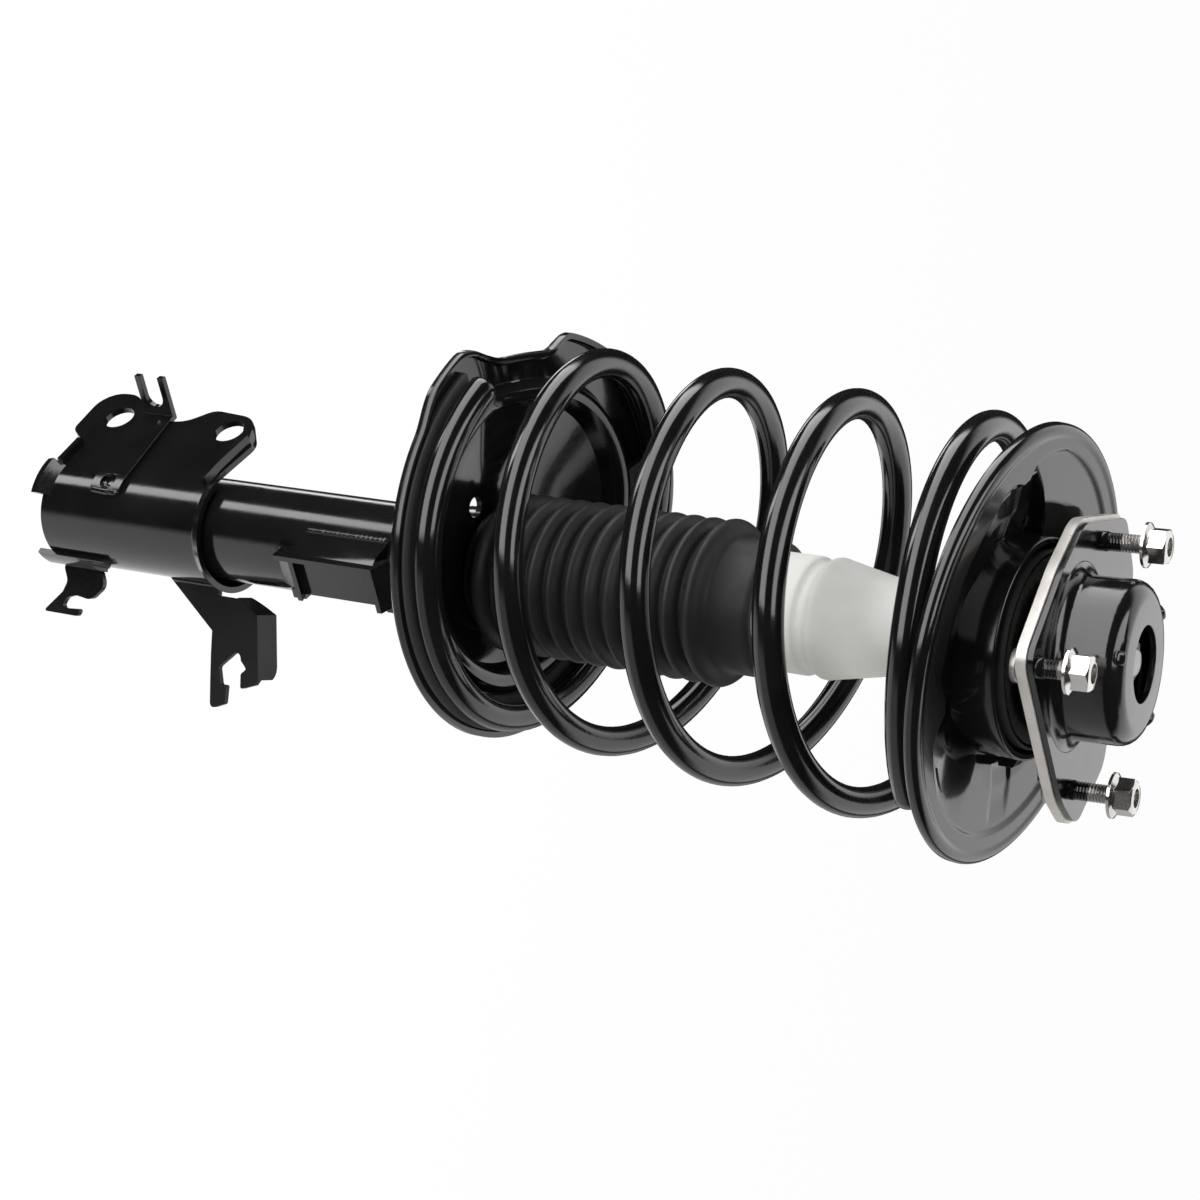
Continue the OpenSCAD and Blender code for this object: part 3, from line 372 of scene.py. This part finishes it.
def dust_boot():
    """A cuff on the tube, the ribs, one bigger rib and a plain neck up to the bump stop's ring."""
    cuff_h, cuff_bead, big_pitch, neck_r = 7, 4, 12, 28
    low = HUB_DEPTH - 1
    first = low - cuff_h - RIB_PITCH / 2
    big = first - RIB_PITCH * (RIB_COUNT - 0.5) - big_pitch / 2
    outside = [(TUBE_R + out + BOOT_WALL, -low + up) for out, up in ((0.8, 0), (1.2, 2), (0.8, cuff_bead))]
    for i in range(RIB_COUNT):
        outside += boot_rib(-first + RIB_PITCH * i, RIB_R, RIB_PITCH)
    outside += boot_rib(-big, RIB_R + 0.6, big_pitch)
    outside += [(neck_r + 0.4, -big + 7), (neck_r + 0.5, -STOP_DEPTH + 2), (neck_r, -BOOT_TOP - 1),
                (neck_r - 1, -BOOT_TOP)]
    inside = [(r - BOOT_WALL, z) for r, z in outside[:-2]][::-1]
    inside = [(STOP_RING_R, -BOOT_TOP), (STOP_RING_R, -STOP_DEPTH + 1)] + inside[1:]
    points, faces = skin(lathe(outside + inside, 128), closed=True)
    obj = mesh_object("boot_bellows", points, faces, "black_rubber")
    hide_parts("dust_boot")
    between_seats(obj)


def polar_sheet(name, profile_at, step, material, *nodes, bevel=0.0):
    """A pressed sheet turned about Z, whose closed section changes with the angle."""
    rings = [profile_at(a) for a in np.arange(0, 360, step)]
    obj = mesh_object(name, *skin(rings, closed=True), material)
    if bevel:
        round_edges(obj, bevel, 38)
    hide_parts(*nodes)
    return obj


def span_mask(angle, start, stop, soft):
    """1 inside an angular span and 0 outside, with soft ends."""
    off = (angle - start) % 360
    width = stop - start
    return ease(off / soft) * (1 - ease((off - width + soft) / soft)) if off < width else 0.0


def lip_reach(angle):
    azimuths, reaches = zip(*LIP)
    return float(np.interp(angle % 360, azimuths, reaches))


def upper_seat_depth(r, angle):
    """Depth of the upper seat's pressed face inside its rim, on its own tilted axis."""
    lip = lip_reach(angle)
    below = 1 - ease((r - lip + LIP_WIDTH) / LIP_WIDTH)
    inward = max(0.0, lip - LIP_WIDTH - r)
    depth = SEAT_DEPTH + FACE_DROP + LIP_STEP * below
    for (start, stop), (turn_in, turn_out) in zip(POCKETS, POCKET_SKEWS):
        first = start + turn_in * (r - SKEW_REACHES[0])
        last = stop + turn_out * (r - SKEW_REACHES[1])
        inside = span_mask(angle, first, last, POCKET_EDGE)
        depth += inside * (POCKET_DROP * below + POCKET_SLOPE * inward)
    turned = (angle - POCKETS[0][1] + DISH_LEAD) % 360
    dish = (1 - ease((turned - DISH_HOLD) / DISH_FADE)) * ease(turned / DISH_RISE)
    depth += DISH_SLOPE * inward * dish + INNER_SLOPE * max(0.0, INNER_REACH - r)
    along = r * math.radians((angle - CHANNEL_AT + 180) % 360 - 180)
    channel = ease((CHANNEL_HALF - abs(along)) / CHANNEL_FLANK) * ease((r - CHANNEL_START) / CHANNEL_RISE)
    return depth + CHANNEL_DROP * (channel * (1 - ease((r - CHANNEL_STOP) / CHANNEL_FADE)))


def tilted_point(r, z, turn):
    """A point of the pressed ring, swung about the middle of the seat's face."""
    away = math.radians(LEAN_DIR)
    along = r * math.cos(turn - away)
    across = r * math.sin(turn - away)
    up = z + SEAT_DEPTH
    swung = along * math.cos(SEAT_TILT) - up * math.sin(SEAT_TILT)
    raised = along * math.sin(SEAT_TILT) + up * math.cos(SEAT_TILT) - SEAT_DEPTH
    return (swung * math.cos(away) - across * math.sin(away),
            swung * math.sin(away) + across * math.cos(away), raised)


def upper_seat_section(angle):
    """The hub with its round wall stands level; the pressed ring outside it is tilted."""
    turn = math.radians(angle)
    lip = lip_reach(angle)
    flat = [43.6, 44.4, *np.linspace(45, lip - LIP_WIDTH - 0.5, 26),
            *(lip + LIP_WIDTH * k / 8 for k in range(-8, 1)), *np.linspace(lip + 0.4, 82, 10)]
    top = [(r, -upper_seat_depth(r, angle)) for r in flat]
    rim = [(82.8, -SEAT_DEPTH - 0.45), (83.4, -SEAT_DEPTH - 0.1), (84.0, -SEAT_DEPTH)]
    rim += [(SEAT_RIM_R - RIM_ROUND + RIM_ROUND * math.sin(t),
             -SEAT_DEPTH - RIM_ROUND + RIM_ROUND * math.cos(t))
            for t in (math.radians(degrees) for degrees in range(0, 91, 10))]
    low = SEAT_DEPTH + SKIRT_H
    skirt = [(SEAT_RIM_R, -low + 0.6), (SEAT_RIM_R - 0.5, -low), (SEAT_RIM_R - 2, -low),
             (SEAT_RIM_R - SHEET, -low + 0.4), (SEAT_RIM_R - SHEET, -SEAT_DEPTH - 3.2),
             (SEAT_RIM_R - 3.1, -SEAT_DEPTH - SHEET)]
    under = [(r, -SEAT_DEPTH - SHEET if r > SEAT_RING_IN - 1 else -upper_seat_depth(r, angle) - SHEET)
             for r in flat[:-3:2]][::-1]
    tilted = [tilted_point(r, z, turn) for r, z in top + rim + skirt + under]
    floor_z = tilted[-1][2] - 0.6
    hub = [(WALL_OUT - 0.3, floor_z), (WALL_IN, floor_z), (WALL_IN, -HUB_UNDER), (HUB_BORE_R, -HUB_UNDER),
           (HUB_BORE_R, -HUB_TOP), (WALL_IN - 1.5, -HUB_TOP), (WALL_IN - 0.4, -HUB_TOP + 0.4),
           (WALL_IN, -HUB_TOP + 1.5), (WALL_IN, -WALL_TOP - 0.4), (WALL_IN + 0.5, -WALL_TOP),
           (WALL_OUT - 0.9, -WALL_TOP), (WALL_OUT - 0.25, -WALL_TOP - 0.3), (WALL_OUT, -WALL_TOP - 1),
           (WALL_OUT, max(tilted[0][2] + 0.8, -HUB_UNDER - 4))]
    return tilted + [(r * math.cos(turn), r * math.sin(turn), z) for r, z in hub]


def upper_seat():
    obj = polar_sheet("upper_seat_pressing", upper_seat_section, 0.75, "black_coat", "upper_spring_seat")
    obj.data.set_sharp_from_angle(angle=math.radians(50))
    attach(obj, "upper_seat")


def hub_tab():
    """The small lug that stands at the foot of the hub's wall."""
    half, near, far, low, high = 4, WALL_OUT - 0.6, WALL_OUT + 4.4, -HUB_UNDER - 3, -HUB_TOP + 3.4
    turn = Matrix.Rotation(math.radians(CHANNEL_AT), 4, "Z")
    outline = [(near, low), (far, low), (far, high - 2.4), (near + 1.2, high), (near, high)]
    rings = [[tuple(turn @ Vector((r, y, z))) for r, z in outline] for y in (-half, half)]
    obj = mesh_object("hub_lug", *skin(rings), "black_coat", smooth=False)
    round_edges(obj, 0.5, 30)
    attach(obj, "upper_seat")


def wound(angle):
    """An angle on the lower seat, counted on from where the spring's lower end starts."""
    return (angle - COIL_START + 720) % 360 + COIL_START


def floor_at(angle):
    """Depth of the pan's floor: it climbs with the end turn, then steps back to where the turn starts."""
    blend, step_from, step_rise = 4, 366, 26
    t = wound(angle)
    f = -soft_min(-(wire_depth(t) + WIRE_R + GAP + LOWER_PAD), -RAMP_DEPTH, blend)
    return f + (FLOOR_DEPTH - f) * ease((t - step_from) / step_rise)


def lip_at(angle):
    """Height of the pan's edge, which stands up in a tall lobe on one side."""
    low, extra = 2.5, 11
    t = wound(angle)
    return low + extra * ease((t - 190) / 70) * (1 - ease((t - 300) / 60))


def pan_at(angle):
    """Radius of the pan's edge, with a lobe round the wire's end and a waist beside it."""
    t = wound(angle)
    lobe = 1 - ease((t - 50) / 14) if t < 90 else ease((t - 388) / 11)
    return PAN_R + PAN_LOBE * lobe - PAN_WAIST * ease((t - 358) / 12) * (1 - ease((t - 382) / 12))


def seat_point(angle, r, share, depth):
    """A point of the lower seat, moved by its share of the spring's sideways shift."""
    lean, turn = math.radians(LEAN_DIR), math.radians(LEAN_DIR + angle)
    shift = share * (LEAN_SHIFT + LEAN * COIL_LOW)
    return (shift * math.cos(lean) + r * math.cos(turn), shift * math.sin(lean) + r * math.sin(turn),
            -depth)


def lower_seat_section(angle):
    """The upper face from the tube to the edge, and back along the under face."""
    t, f, lip, r, hub = PAN_SHEET, floor_at(angle), lip_at(angle), pan_at(angle), HUB_DEPTH
    middle = (hub + f + 5) / 2 + 0.4
    line = [(TUBE_R + 0.1, 0, hub), (34, 0.2, hub), (44, 0.6, middle), (57, 1, f + 5), (59.2, 1, f - 0.5),
            (61, 1, f - 4), (63.5, 1, f - 5), (66, 1, f - 4.5), (68, 1, f - 1.4), (69.5, 1, f), (78, 1, f),
            (r - 1, 1, f), (r, 1, f - 0.8), (r, 1, f - lip), (r + t, 1, f - lip), (r + t, 1, f + t - 1.5),
            (r + t - 1.5, 1, f + t), (78, 1, f + t), (68.5, 1, f + t), (65, 1, f - 4.5 + t),
            (62, 1, f - 4 + t), (59, 1, f + 5 + t), (44, 0.6, middle + t), (33, 0.2, hub + t),
            (TUBE_R + t + 1, 0, hub + t), (TUBE_R + t, 0, hub + t + 1.2), (TUBE_R + t, 0, hub + 14),
            (TUBE_R + 0.1, 0, hub + 14)]
    return [seat_point(angle, radius, share, depth) for radius, share, depth in line]


def lower_seat():
    obj = polar_sheet("lower_seat_pressing", lower_seat_section, 1.5, "black_coat", "lower_spring_seat",
                      bevel=0.5)
    bpy.ops.mesh.primitive_cylinder_add(vertices=48, radius=PAN_HOLE_R * MM, depth=0.04)
    cutter = bpy.context.object
    reach, turn = PAN_HOLE_REACH * MM, math.radians(PAN_HOLE_AT)
    cutter.location = (reach * math.cos(turn), reach * math.sin(turn), -HUB_DEPTH * MM)
    cut = obj.modifiers.new("hole", "BOOLEAN")
    cut.operation, cut.solver, cut.object = "DIFFERENCE", "EXACT", cutter
    bpy.context.view_layer.update()
    evaluated = obj.evaluated_get(bpy.context.evaluated_depsgraph_get())
    mesh = bpy.data.meshes.new_from_object(evaluated)
    obj.modifiers.clear()
    obj.data = mesh
    mesh.shade_smooth()
    mesh.set_sharp_from_angle(angle=math.radians(42))
    bpy.data.objects.remove(cutter)
    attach(obj, "housing")


def seat_pad():
    """The rubber strip under the spring's end turn."""
    steps, sunk, inner, outer = 160, 0.05, 70.2, PAN_R - 0.6
    rings = []
    for i in range(steps + 1):
        a = COIL_START + (PAD_STOP - COIL_START) * i / steps
        f = floor_at(a) - sunk
        top = f - LOWER_PAD + sunk
        line = [(inner, f), (inner, top + 0.7), (inner + 0.2, top + 0.2), (inner + 0.7, top),
                (outer - 0.7, top), (outer - 0.2, top + 0.2), (outer, top + 0.7), (outer, f)]
        rings.append([seat_point(a, r, 1, d) for r, d in line])
    obj = mesh_object("end_turn_pad", *skin(rings), "grey_rubber")
    obj.data.set_sharp_from_angle(angle=math.radians(50))
    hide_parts("lower_rubber_seat")
    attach(obj, "housing")


MOUNT_TURN = (Matrix.Rotation(math.radians(TILT_DIR), 4, "Z")
              @ Matrix.Rotation(math.radians(MOUNT_TILT), 4, "Y")
              @ Matrix.Rotation(math.radians(-TILT_DIR), 4, "Z"))


def at_stud(i, points):
    """Points given on a stud's own axis, counted up from the plate, in the row frame."""
    angle, reach = math.radians(STUD_DIRS[i]), STUD_REACHES[i]
    place = MOUNT_TURN @ Matrix.Translation((reach * math.cos(angle), reach * math.sin(angle), -CAP_H))
    return [place @ Vector(p) for p in points]


def stud(i):
    """Head, neck and plain shank, then a rolled thread with a chamfered tip."""
    sides, rows_per_turn, run_in = 40, 10, 1.5
    length = STUD_LENS[i]
    bottom = -SHEETS - HEAD_H
    turns = [2 * math.pi * k / sides for k in range(sides)]
    stations = [(HEAD_R - 1.3, bottom), (HEAD_R - 0.3, bottom), (HEAD_R, bottom + 0.4),
                (HEAD_R, -SHEETS - 0.3), (HEAD_R - 0.3, -SHEETS), (NECK_R, -SHEETS), (NECK_R, 0),
                (SHANK_R, 0.02), (SHANK_R, SHANK_LEN - 0.4), (THREAD_R, SHANK_LEN)]
    rings = [[(r * math.cos(a), r * math.sin(a), z) for a in turns] for r, z in stations]
    rows = int((length - SHANK_LEN) / THREAD_PITCH * rows_per_turn)
    for row in range(1, rows + 1):
        z = SHANK_LEN + (length - SHANK_LEN) * row / rows
        tip = max(0.0, (z - length + 1) * 0.8)
        grown = min(1.0, (z - SHANK_LEN) / run_in)
        ring = []
        for k, a in enumerate(turns):
            wave = abs(((z / THREAD_PITCH - k / sides) % 1) * 2 - 1)
            r = THREAD_R - THREAD_DEPTH * grown * (1 - min(1.0, wave * 1.25)) - tip
            ring.append((r * math.cos(a), r * math.sin(a), z))
        rings.append(ring)
    points, faces = skin(rings)
    obj = mesh_object(f"stud_thread_{i + 1}", at_stud(i, points), faces, "thread_plate")
    obj.data.materials.append(FINISH["black_coat"])
    for face, corners in zip(obj.data.polygons, faces):
        if -SHEETS < np.mean([points[c][2] for c in corners]) < DARK_SHANK:
            face.material_index = 1
    obj.data.set_sharp_from_angle(angle=math.radians(40))
    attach(obj, "top_mount")
    return obj


def weld(name, path, body, radius, lumps, seed):
    """A weld bead of overlapping ripples, each lumps mm long, along a line of points."""
    sides, per_mm, flatness = 12, 1.6, 0.8
    pts = [np.array(p, float) for p in path]
    lengths = [np.linalg.norm(b - a) for a, b in zip(pts, pts[1:])]
    total = sum(lengths)
    count = max(8, int(total * per_mm))
    rng = np.random.default_rng(seed)
    jitter = rng.uniform(-0.25, 0.25, count + 1)

    def place(s):
        for a, b, length in zip(pts, pts[1:], lengths):
            if s <= length:
                return a + (b - a) * (s / length)
            s -= length
        return pts[-1]

    line = [place(total * i / count) for i in range(count + 1)]
    rings = []
    for i, p in enumerate(line):
        run = line[min(i + 1, count)] - line[max(i - 1, 0)]
        run /= np.linalg.norm(run)
        out = np.array([p[0], p[1], 0.0])
        out -= run * (out @ run)
        out /= np.linalg.norm(out)
        side = np.cross(run, out)
        s = total * i / count
        end = min(1.0, (min(s, total - s) + 0.3) / radius) ** 0.5
        r = radius * end * (0.86 + 0.14 * abs(math.sin(math.pi * s / lumps)) + 0.1 * jitter[i])
        rings.append([p + r * (out * math.cos(t) * flatness + side * math.sin(t))
                      for t in (2 * math.pi * k / sides for k in range(sides))])
    obj = mesh_object(name, *skin(rings), "black_coat")
    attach(obj, body)


def polar(radius, azimuth, z):
    return (radius * math.cos(math.radians(azimuth)), radius * math.sin(math.radians(azimuth)), z)


def round_line(radius, z, start, stop, count):
    return [polar(radius, start + (stop - start) * i / count, z) for i in range(count + 1)]


# Finishes that differ from a node's own slot, and the widths of the nodes' small bevels in mm
# The rod nut and the rod's end get a darker plating than their slot gives, and the hose bracket a rougher
# coat
FINISH_SWAPS = {"rod_nut": "thread_plate", "piston_rod": "thread_plate", "brake_hose_bracket": "bracket_coat"}
BEVELS = {"knuckle_bracket": 0.5, "hose_fork_clip": 0.5, "brake_hose_bracket": 0.5,
          "stabiliser_bracket": 0.6, "sensor_lead_clip": 0.5, "mount_upper_plate": 0.5,
          "mount_lower_plate": 0.7, "mount_cap": 0.35, "flange_nut_1": 0.25, "flange_nut_2": 0.25,
          "flange_nut_3": 0.25, "strut_tube": 0.3, "rod_nut": 0.3}


def dress_nodes():
    """The CAD nodes keep their shape, and get small rounded edges and their finish."""
    slots = {p["node"]: p["material_slot"] for p in frame["record"]["subparts"]}
    for name, obj in NODES.items():
        obj.data.materials.clear()
        obj.data.materials.append(FINISH[FINISH_SWAPS.get(name, slots[name])])
        obj.data.shade_smooth()
        join = obj.modifiers.new("join", "WELD")
        join.merge_threshold = 0.01 * MM
        if name in BEVELS:
            round_edges(obj, BEVELS[name], 35)
        normals = obj.modifiers.new("normals", "WEIGHTED_NORMAL")
        normals.weight = 80


def stake(name, azimuth):
    """A small dimple of metal staked over the cap's rounded edge."""
    halves, squareness, inset, depth, slant = (2.6, 2.8, 2.2), 0.6, 2.9, 2.4, 40
    bm = bmesh.new()
    bmesh.ops.create_uvsphere(bm, u_segments=24, v_segments=16, radius=1.0)
    for v in bm.verts:
        v.co = [math.copysign(abs(c) ** squareness, c) * half for c, half in zip(v.co, halves)]
    place = (MOUNT_TURN @ Matrix.Rotation(math.radians(azimuth), 4, "Z")
             @ Matrix.Translation((CAP_R - inset, 0, -depth))
             @ Matrix.Rotation(math.radians(slant), 4, "Y"))
    bmesh.ops.transform(bm, matrix=Matrix.Scale(MM, 4) @ place, verts=bm.verts)
    mesh = bpy.data.meshes.new(name)
    bm.to_mesh(mesh)
    bm.free()
    mesh.shade_smooth()
    obj = add_object(name, mesh, FINISH["black_coat"])
    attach(obj, "top_mount")


# The lines of the welds
SEAT_EDGE = round_line(TUBE_R + 1.3, -HUB_DEPTH - 14.2, 20, 340, 60)
FORK_FOOT = [polar(WRAP_R + 0.9, 115, -513), polar(WRAP_R + 0.9, 116, -504),
             polar(WRAP_R + 0.9, 115, -496)]
FORK_NOTCH = [polar(WRAP_R + 1.4, 106, -507), polar(WRAP_R + 1.2, 111, -504.5),
              polar(WRAP_R + 1.4, 113, -500)]
BRAKE_EDGE = [polar(WRAP_R + 0.5, 227, -478), polar(WRAP_R + 0.5, 227, -452)]
STABILISER_EDGE = [polar(TUBE_R + 0.5, 124, -386), polar(TUBE_R + 0.5, 124, -342)]


dress_nodes()
coil_spring()
dust_boot()
upper_seat()
hub_tab()
lower_seat()
seat_pad()
studs = [stud(i) for i in range(3)]
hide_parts("mount_studs")
for number, azimuth in enumerate(STAKE_AZIMUTHS, 1):
    stake(f"cap_stake_{number}", azimuth)
weld("seat_weld", SEAT_EDGE, "housing", 1.7, 2.4, 2)
weld("fork_foot_weld", FORK_FOOT, "housing", 1.9, 3.0, 3)
weld("fork_notch_weld", FORK_NOTCH, "housing", 1.4, 2.6, 4)
weld("brake_bracket_weld", BRAKE_EDGE, "housing", 1.5, 2.4, 5)
weld("stabiliser_weld", STABILISER_EDGE, "housing", 1.5, 2.6, 6)


# ---- Stage ----

MIDDLE = Vector((0, 0, -0.28))
FLOOR_Z, FLOOR_HALF, FLOOR_GREY, FLOOR_MIX, FLOOR_GLOW = -1.55, 12.0, 0.86, 0.85, 1.08
AIR_LIGHT = 0.55
DOME_R, DARK_WALL = 1.2, 0.02
SOFTBOXES = (
    (234, 78, 16, -78, -36, 8, 1.0),
    (228, 64, 16, -36, 6, 12, 0.55),
    (84, 60, 6, -31, 9, 3, 3.9),
    (84, 60, 6, 52, 76, 4, 3.8),
    (-45, 60, 24, 15, 62, 8, 1.2),
    (80, 9, 6, -62, -34, 6, 5.0),
    (0, 6, 6, -62, -34, 6, 3.0),
)
LAMPS = (   # name, direction, distance and size in metres, power in watts
    ("key", UP * 0.8 + BACK * 0.7 - RIGHT * 0.3, 1.7, (1.1, 0.8), 26),
    ("fill", -UP * 0.9 + BACK * 0.4 + RIGHT * 0.2, 1.8, (1.4, 1.0), 14),
    ("rim", RIGHT * 0.9 + BACK * 0.2 + UP * 0.3, 1.7, (0.8, 0.8), 10),
)


def emission_by_direction(material, base, patches):
    """Emission from the direction of a point, as seen from the object's own origin.

    A patch is (azimuth, half width, soft edge, low elevation, high elevation, soft edge, strength), with
    its angles in degrees.
    """
    tree = material.node_tree
    tree.nodes.clear()
    new = tree.nodes.new

    def math_node(operation, *values):
        n = new("ShaderNodeMath")
        n.operation = operation
        for socket, value in zip(n.inputs, values):
            if isinstance(value, (int, float)):
                socket.default_value = value
            else:
                tree.links.new(value, socket)
        return n.outputs[0]

    def smooth(value, low, high):
        n = new("ShaderNodeMapRange")
        n.interpolation_type = "SMOOTHSTEP"
        n.inputs["From Min"].default_value = low
        n.inputs["From Max"].default_value = high
        tree.links.new(value, n.inputs["Value"])
        return n.outputs["Result"]

    coords = new("ShaderNodeTexCoord")
    normalise = new("ShaderNodeVectorMath")
    normalise.operation = "NORMALIZE"
    tree.links.new(coords.outputs["Object"], normalise.inputs[0])
    split = new("ShaderNodeSeparateXYZ")
    tree.links.new(normalise.outputs[0], split.inputs[0])
    around = math_node("ARCTAN2", split.outputs["Y"], split.outputs["X"])
    azimuth = math_node("MULTIPLY", around, 180 / math.pi)
    elevation = math_node("MULTIPLY", math_node("ARCSINE", split.outputs["Z"]), 180 / math.pi)
    total = None
    for az, half, soft_az, low, high, soft_el, strength in patches:
        off = math_node("WRAP", math_node("SUBTRACT", azimuth, float(az)), 180.0, -180.0)
        off = math_node("ABSOLUTE", off)
        side = math_node("SUBTRACT", 1.0, smooth(off, half - soft_az / 2, half + soft_az / 2))
        lower = smooth(elevation, low - soft_el / 2, low + soft_el / 2)
        upper = math_node("SUBTRACT", 1.0, smooth(elevation, high - soft_el / 2, high + soft_el / 2))
        light = math_node("MULTIPLY", side, math_node("MULTIPLY", lower, upper))
        light = math_node("MULTIPLY", light, float(strength))
        total = light if total is None else math_node("MAXIMUM", total, light)
    strength = math_node("MAXIMUM", total, float(base))
    emit = new("ShaderNodeEmission")
    tree.links.new(strength, emit.inputs["Strength"])
    out = new("ShaderNodeOutputMaterial")
    tree.links.new(emit.outputs[0], out.inputs["Surface"])
    material.cycles.emission_sampling = "NONE"


def reflection_dome():
    """The studio's softboxes and dark walls, which only reflections see."""
    bm = bmesh.new()
    bmesh.ops.create_icosphere(bm, subdivisions=4, radius=DOME_R)
    bmesh.ops.reverse_faces(bm, faces=bm.faces)
    mesh = bpy.data.meshes.new("studio_dome")
    bm.to_mesh(mesh)
    bm.free()
    mesh.shade_smooth()
    material = bpy.data.materials.new("studio_walls")
    material.use_nodes = True
    emission_by_direction(material, DARK_WALL, SOFTBOXES)
    dome = add_object("studio_dome", mesh, material)
    dome.location = MIDDLE
    for ray in ("camera", "diffuse", "transmission", "volume_scatter", "shadow"):
        setattr(dome, f"visible_{ray}", False)


def pale(tree, camera_white, diffuse_socket):
    """Mixes in plain white where the camera, a reflection or a see-through ray looks."""
    path = tree.nodes.new("ShaderNodeLightPath")
    seen = path.outputs["Is Camera Ray"]
    for name in ("Is Glossy Ray", "Is Transmission Ray"):
        n = tree.nodes.new("ShaderNodeMath")
        n.operation = "MAXIMUM"
        tree.links.new(seen, n.inputs[0])
        tree.links.new(path.outputs[name], n.inputs[1])
        seen = n.outputs[0]
    share = tree.nodes.new("ShaderNodeMath")
    share.operation = "MULTIPLY"
    share.inputs[1].default_value = camera_white
    tree.links.new(seen, share.inputs[0])
    mix = tree.nodes.new("ShaderNodeMixShader")
    tree.links.new(share.outputs[0], mix.inputs[0])
    tree.links.new(diffuse_socket, mix.inputs[1])
    return mix


def floor():
    mesh = bpy.data.meshes.new("studio_floor")
    corners = [(-FLOOR_HALF, -FLOOR_HALF, 0), (FLOOR_HALF, -FLOOR_HALF, 0), (FLOOR_HALF, FLOOR_HALF, 0),
               (-FLOOR_HALF, FLOOR_HALF, 0)]
    mesh.from_pydata(corners, [], [(0, 1, 2, 3)])
    material = bpy.data.materials.new("pale_floor")
    material.use_nodes = True
    tree = material.node_tree
    tree.nodes.clear()
    diffuse = tree.nodes.new("ShaderNodeBsdfDiffuse")
    diffuse.inputs["Color"].default_value = (FLOOR_GREY, FLOOR_GREY, FLOOR_GREY, 1)
    mix = pale(tree, FLOOR_MIX, diffuse.outputs[0])
    emit = tree.nodes.new("ShaderNodeEmission")
    emit.inputs["Strength"].default_value = FLOOR_GLOW
    tree.links.new(emit.outputs[0], mix.inputs[2])
    out = tree.nodes.new("ShaderNodeOutputMaterial")
    tree.links.new(mix.outputs[0], out.inputs["Surface"])
    obj = add_object("studio_floor", mesh, material)
    obj.location = (0, 0, FLOOR_Z)


def world():
    w = bpy.data.worlds.new("studio_air")
    scene.world = w
    w.use_nodes = True
    tree = w.node_tree
    tree.nodes.clear()
    soft = tree.nodes.new("ShaderNodeBackground")
    soft.inputs["Strength"].default_value = AIR_LIGHT
    mix = pale(tree, 1.0, soft.outputs[0])
    white = tree.nodes.new("ShaderNodeBackground")
    white.inputs["Strength"].default_value = 1.0
    tree.links.new(white.outputs[0], mix.inputs[2])
    out = tree.nodes.new("ShaderNodeOutputWorld")
    tree.links.new(mix.outputs[0], out.inputs["Surface"])


def lamp(name, direction, distance, size, power):
    data = bpy.data.lights.new(name, "AREA")
    data.shape = "RECTANGLE"
    data.size, data.size_y = size
    data.energy = power
    obj = bpy.data.objects.new(name, data)
    obj.location = MIDDLE + direction.normalized() * distance
    obj.rotation_mode = "QUATERNION"
    obj.rotation_quaternion = (MIDDLE - obj.location).to_track_quat("-Z", "Y")
    obj.visible_camera = False
    obj.visible_glossy = False
    scene.collection.objects.link(obj)


def camera():
    data = bpy.data.cameras.new("camera")
    data.lens = LENS
    data.sensor_width = SENSOR
    data.clip_start, data.clip_end = 0.05, 40
    obj = bpy.data.objects.new("camera", data)
    back = BACK.normalized()
    right = (RIGHT - back * RIGHT.dot(back)).normalized()
    up = back.cross(right)
    obj.matrix_world = Matrix.Translation(EYE) @ Matrix((right, up, back)).transposed().to_4x4()
    scene.collection.objects.link(obj)
    scene.camera = obj


camera()
world()
floor()
reflection_dome()
for details in LAMPS:
    lamp(*details)
scene.view_settings.view_transform = "Standard"
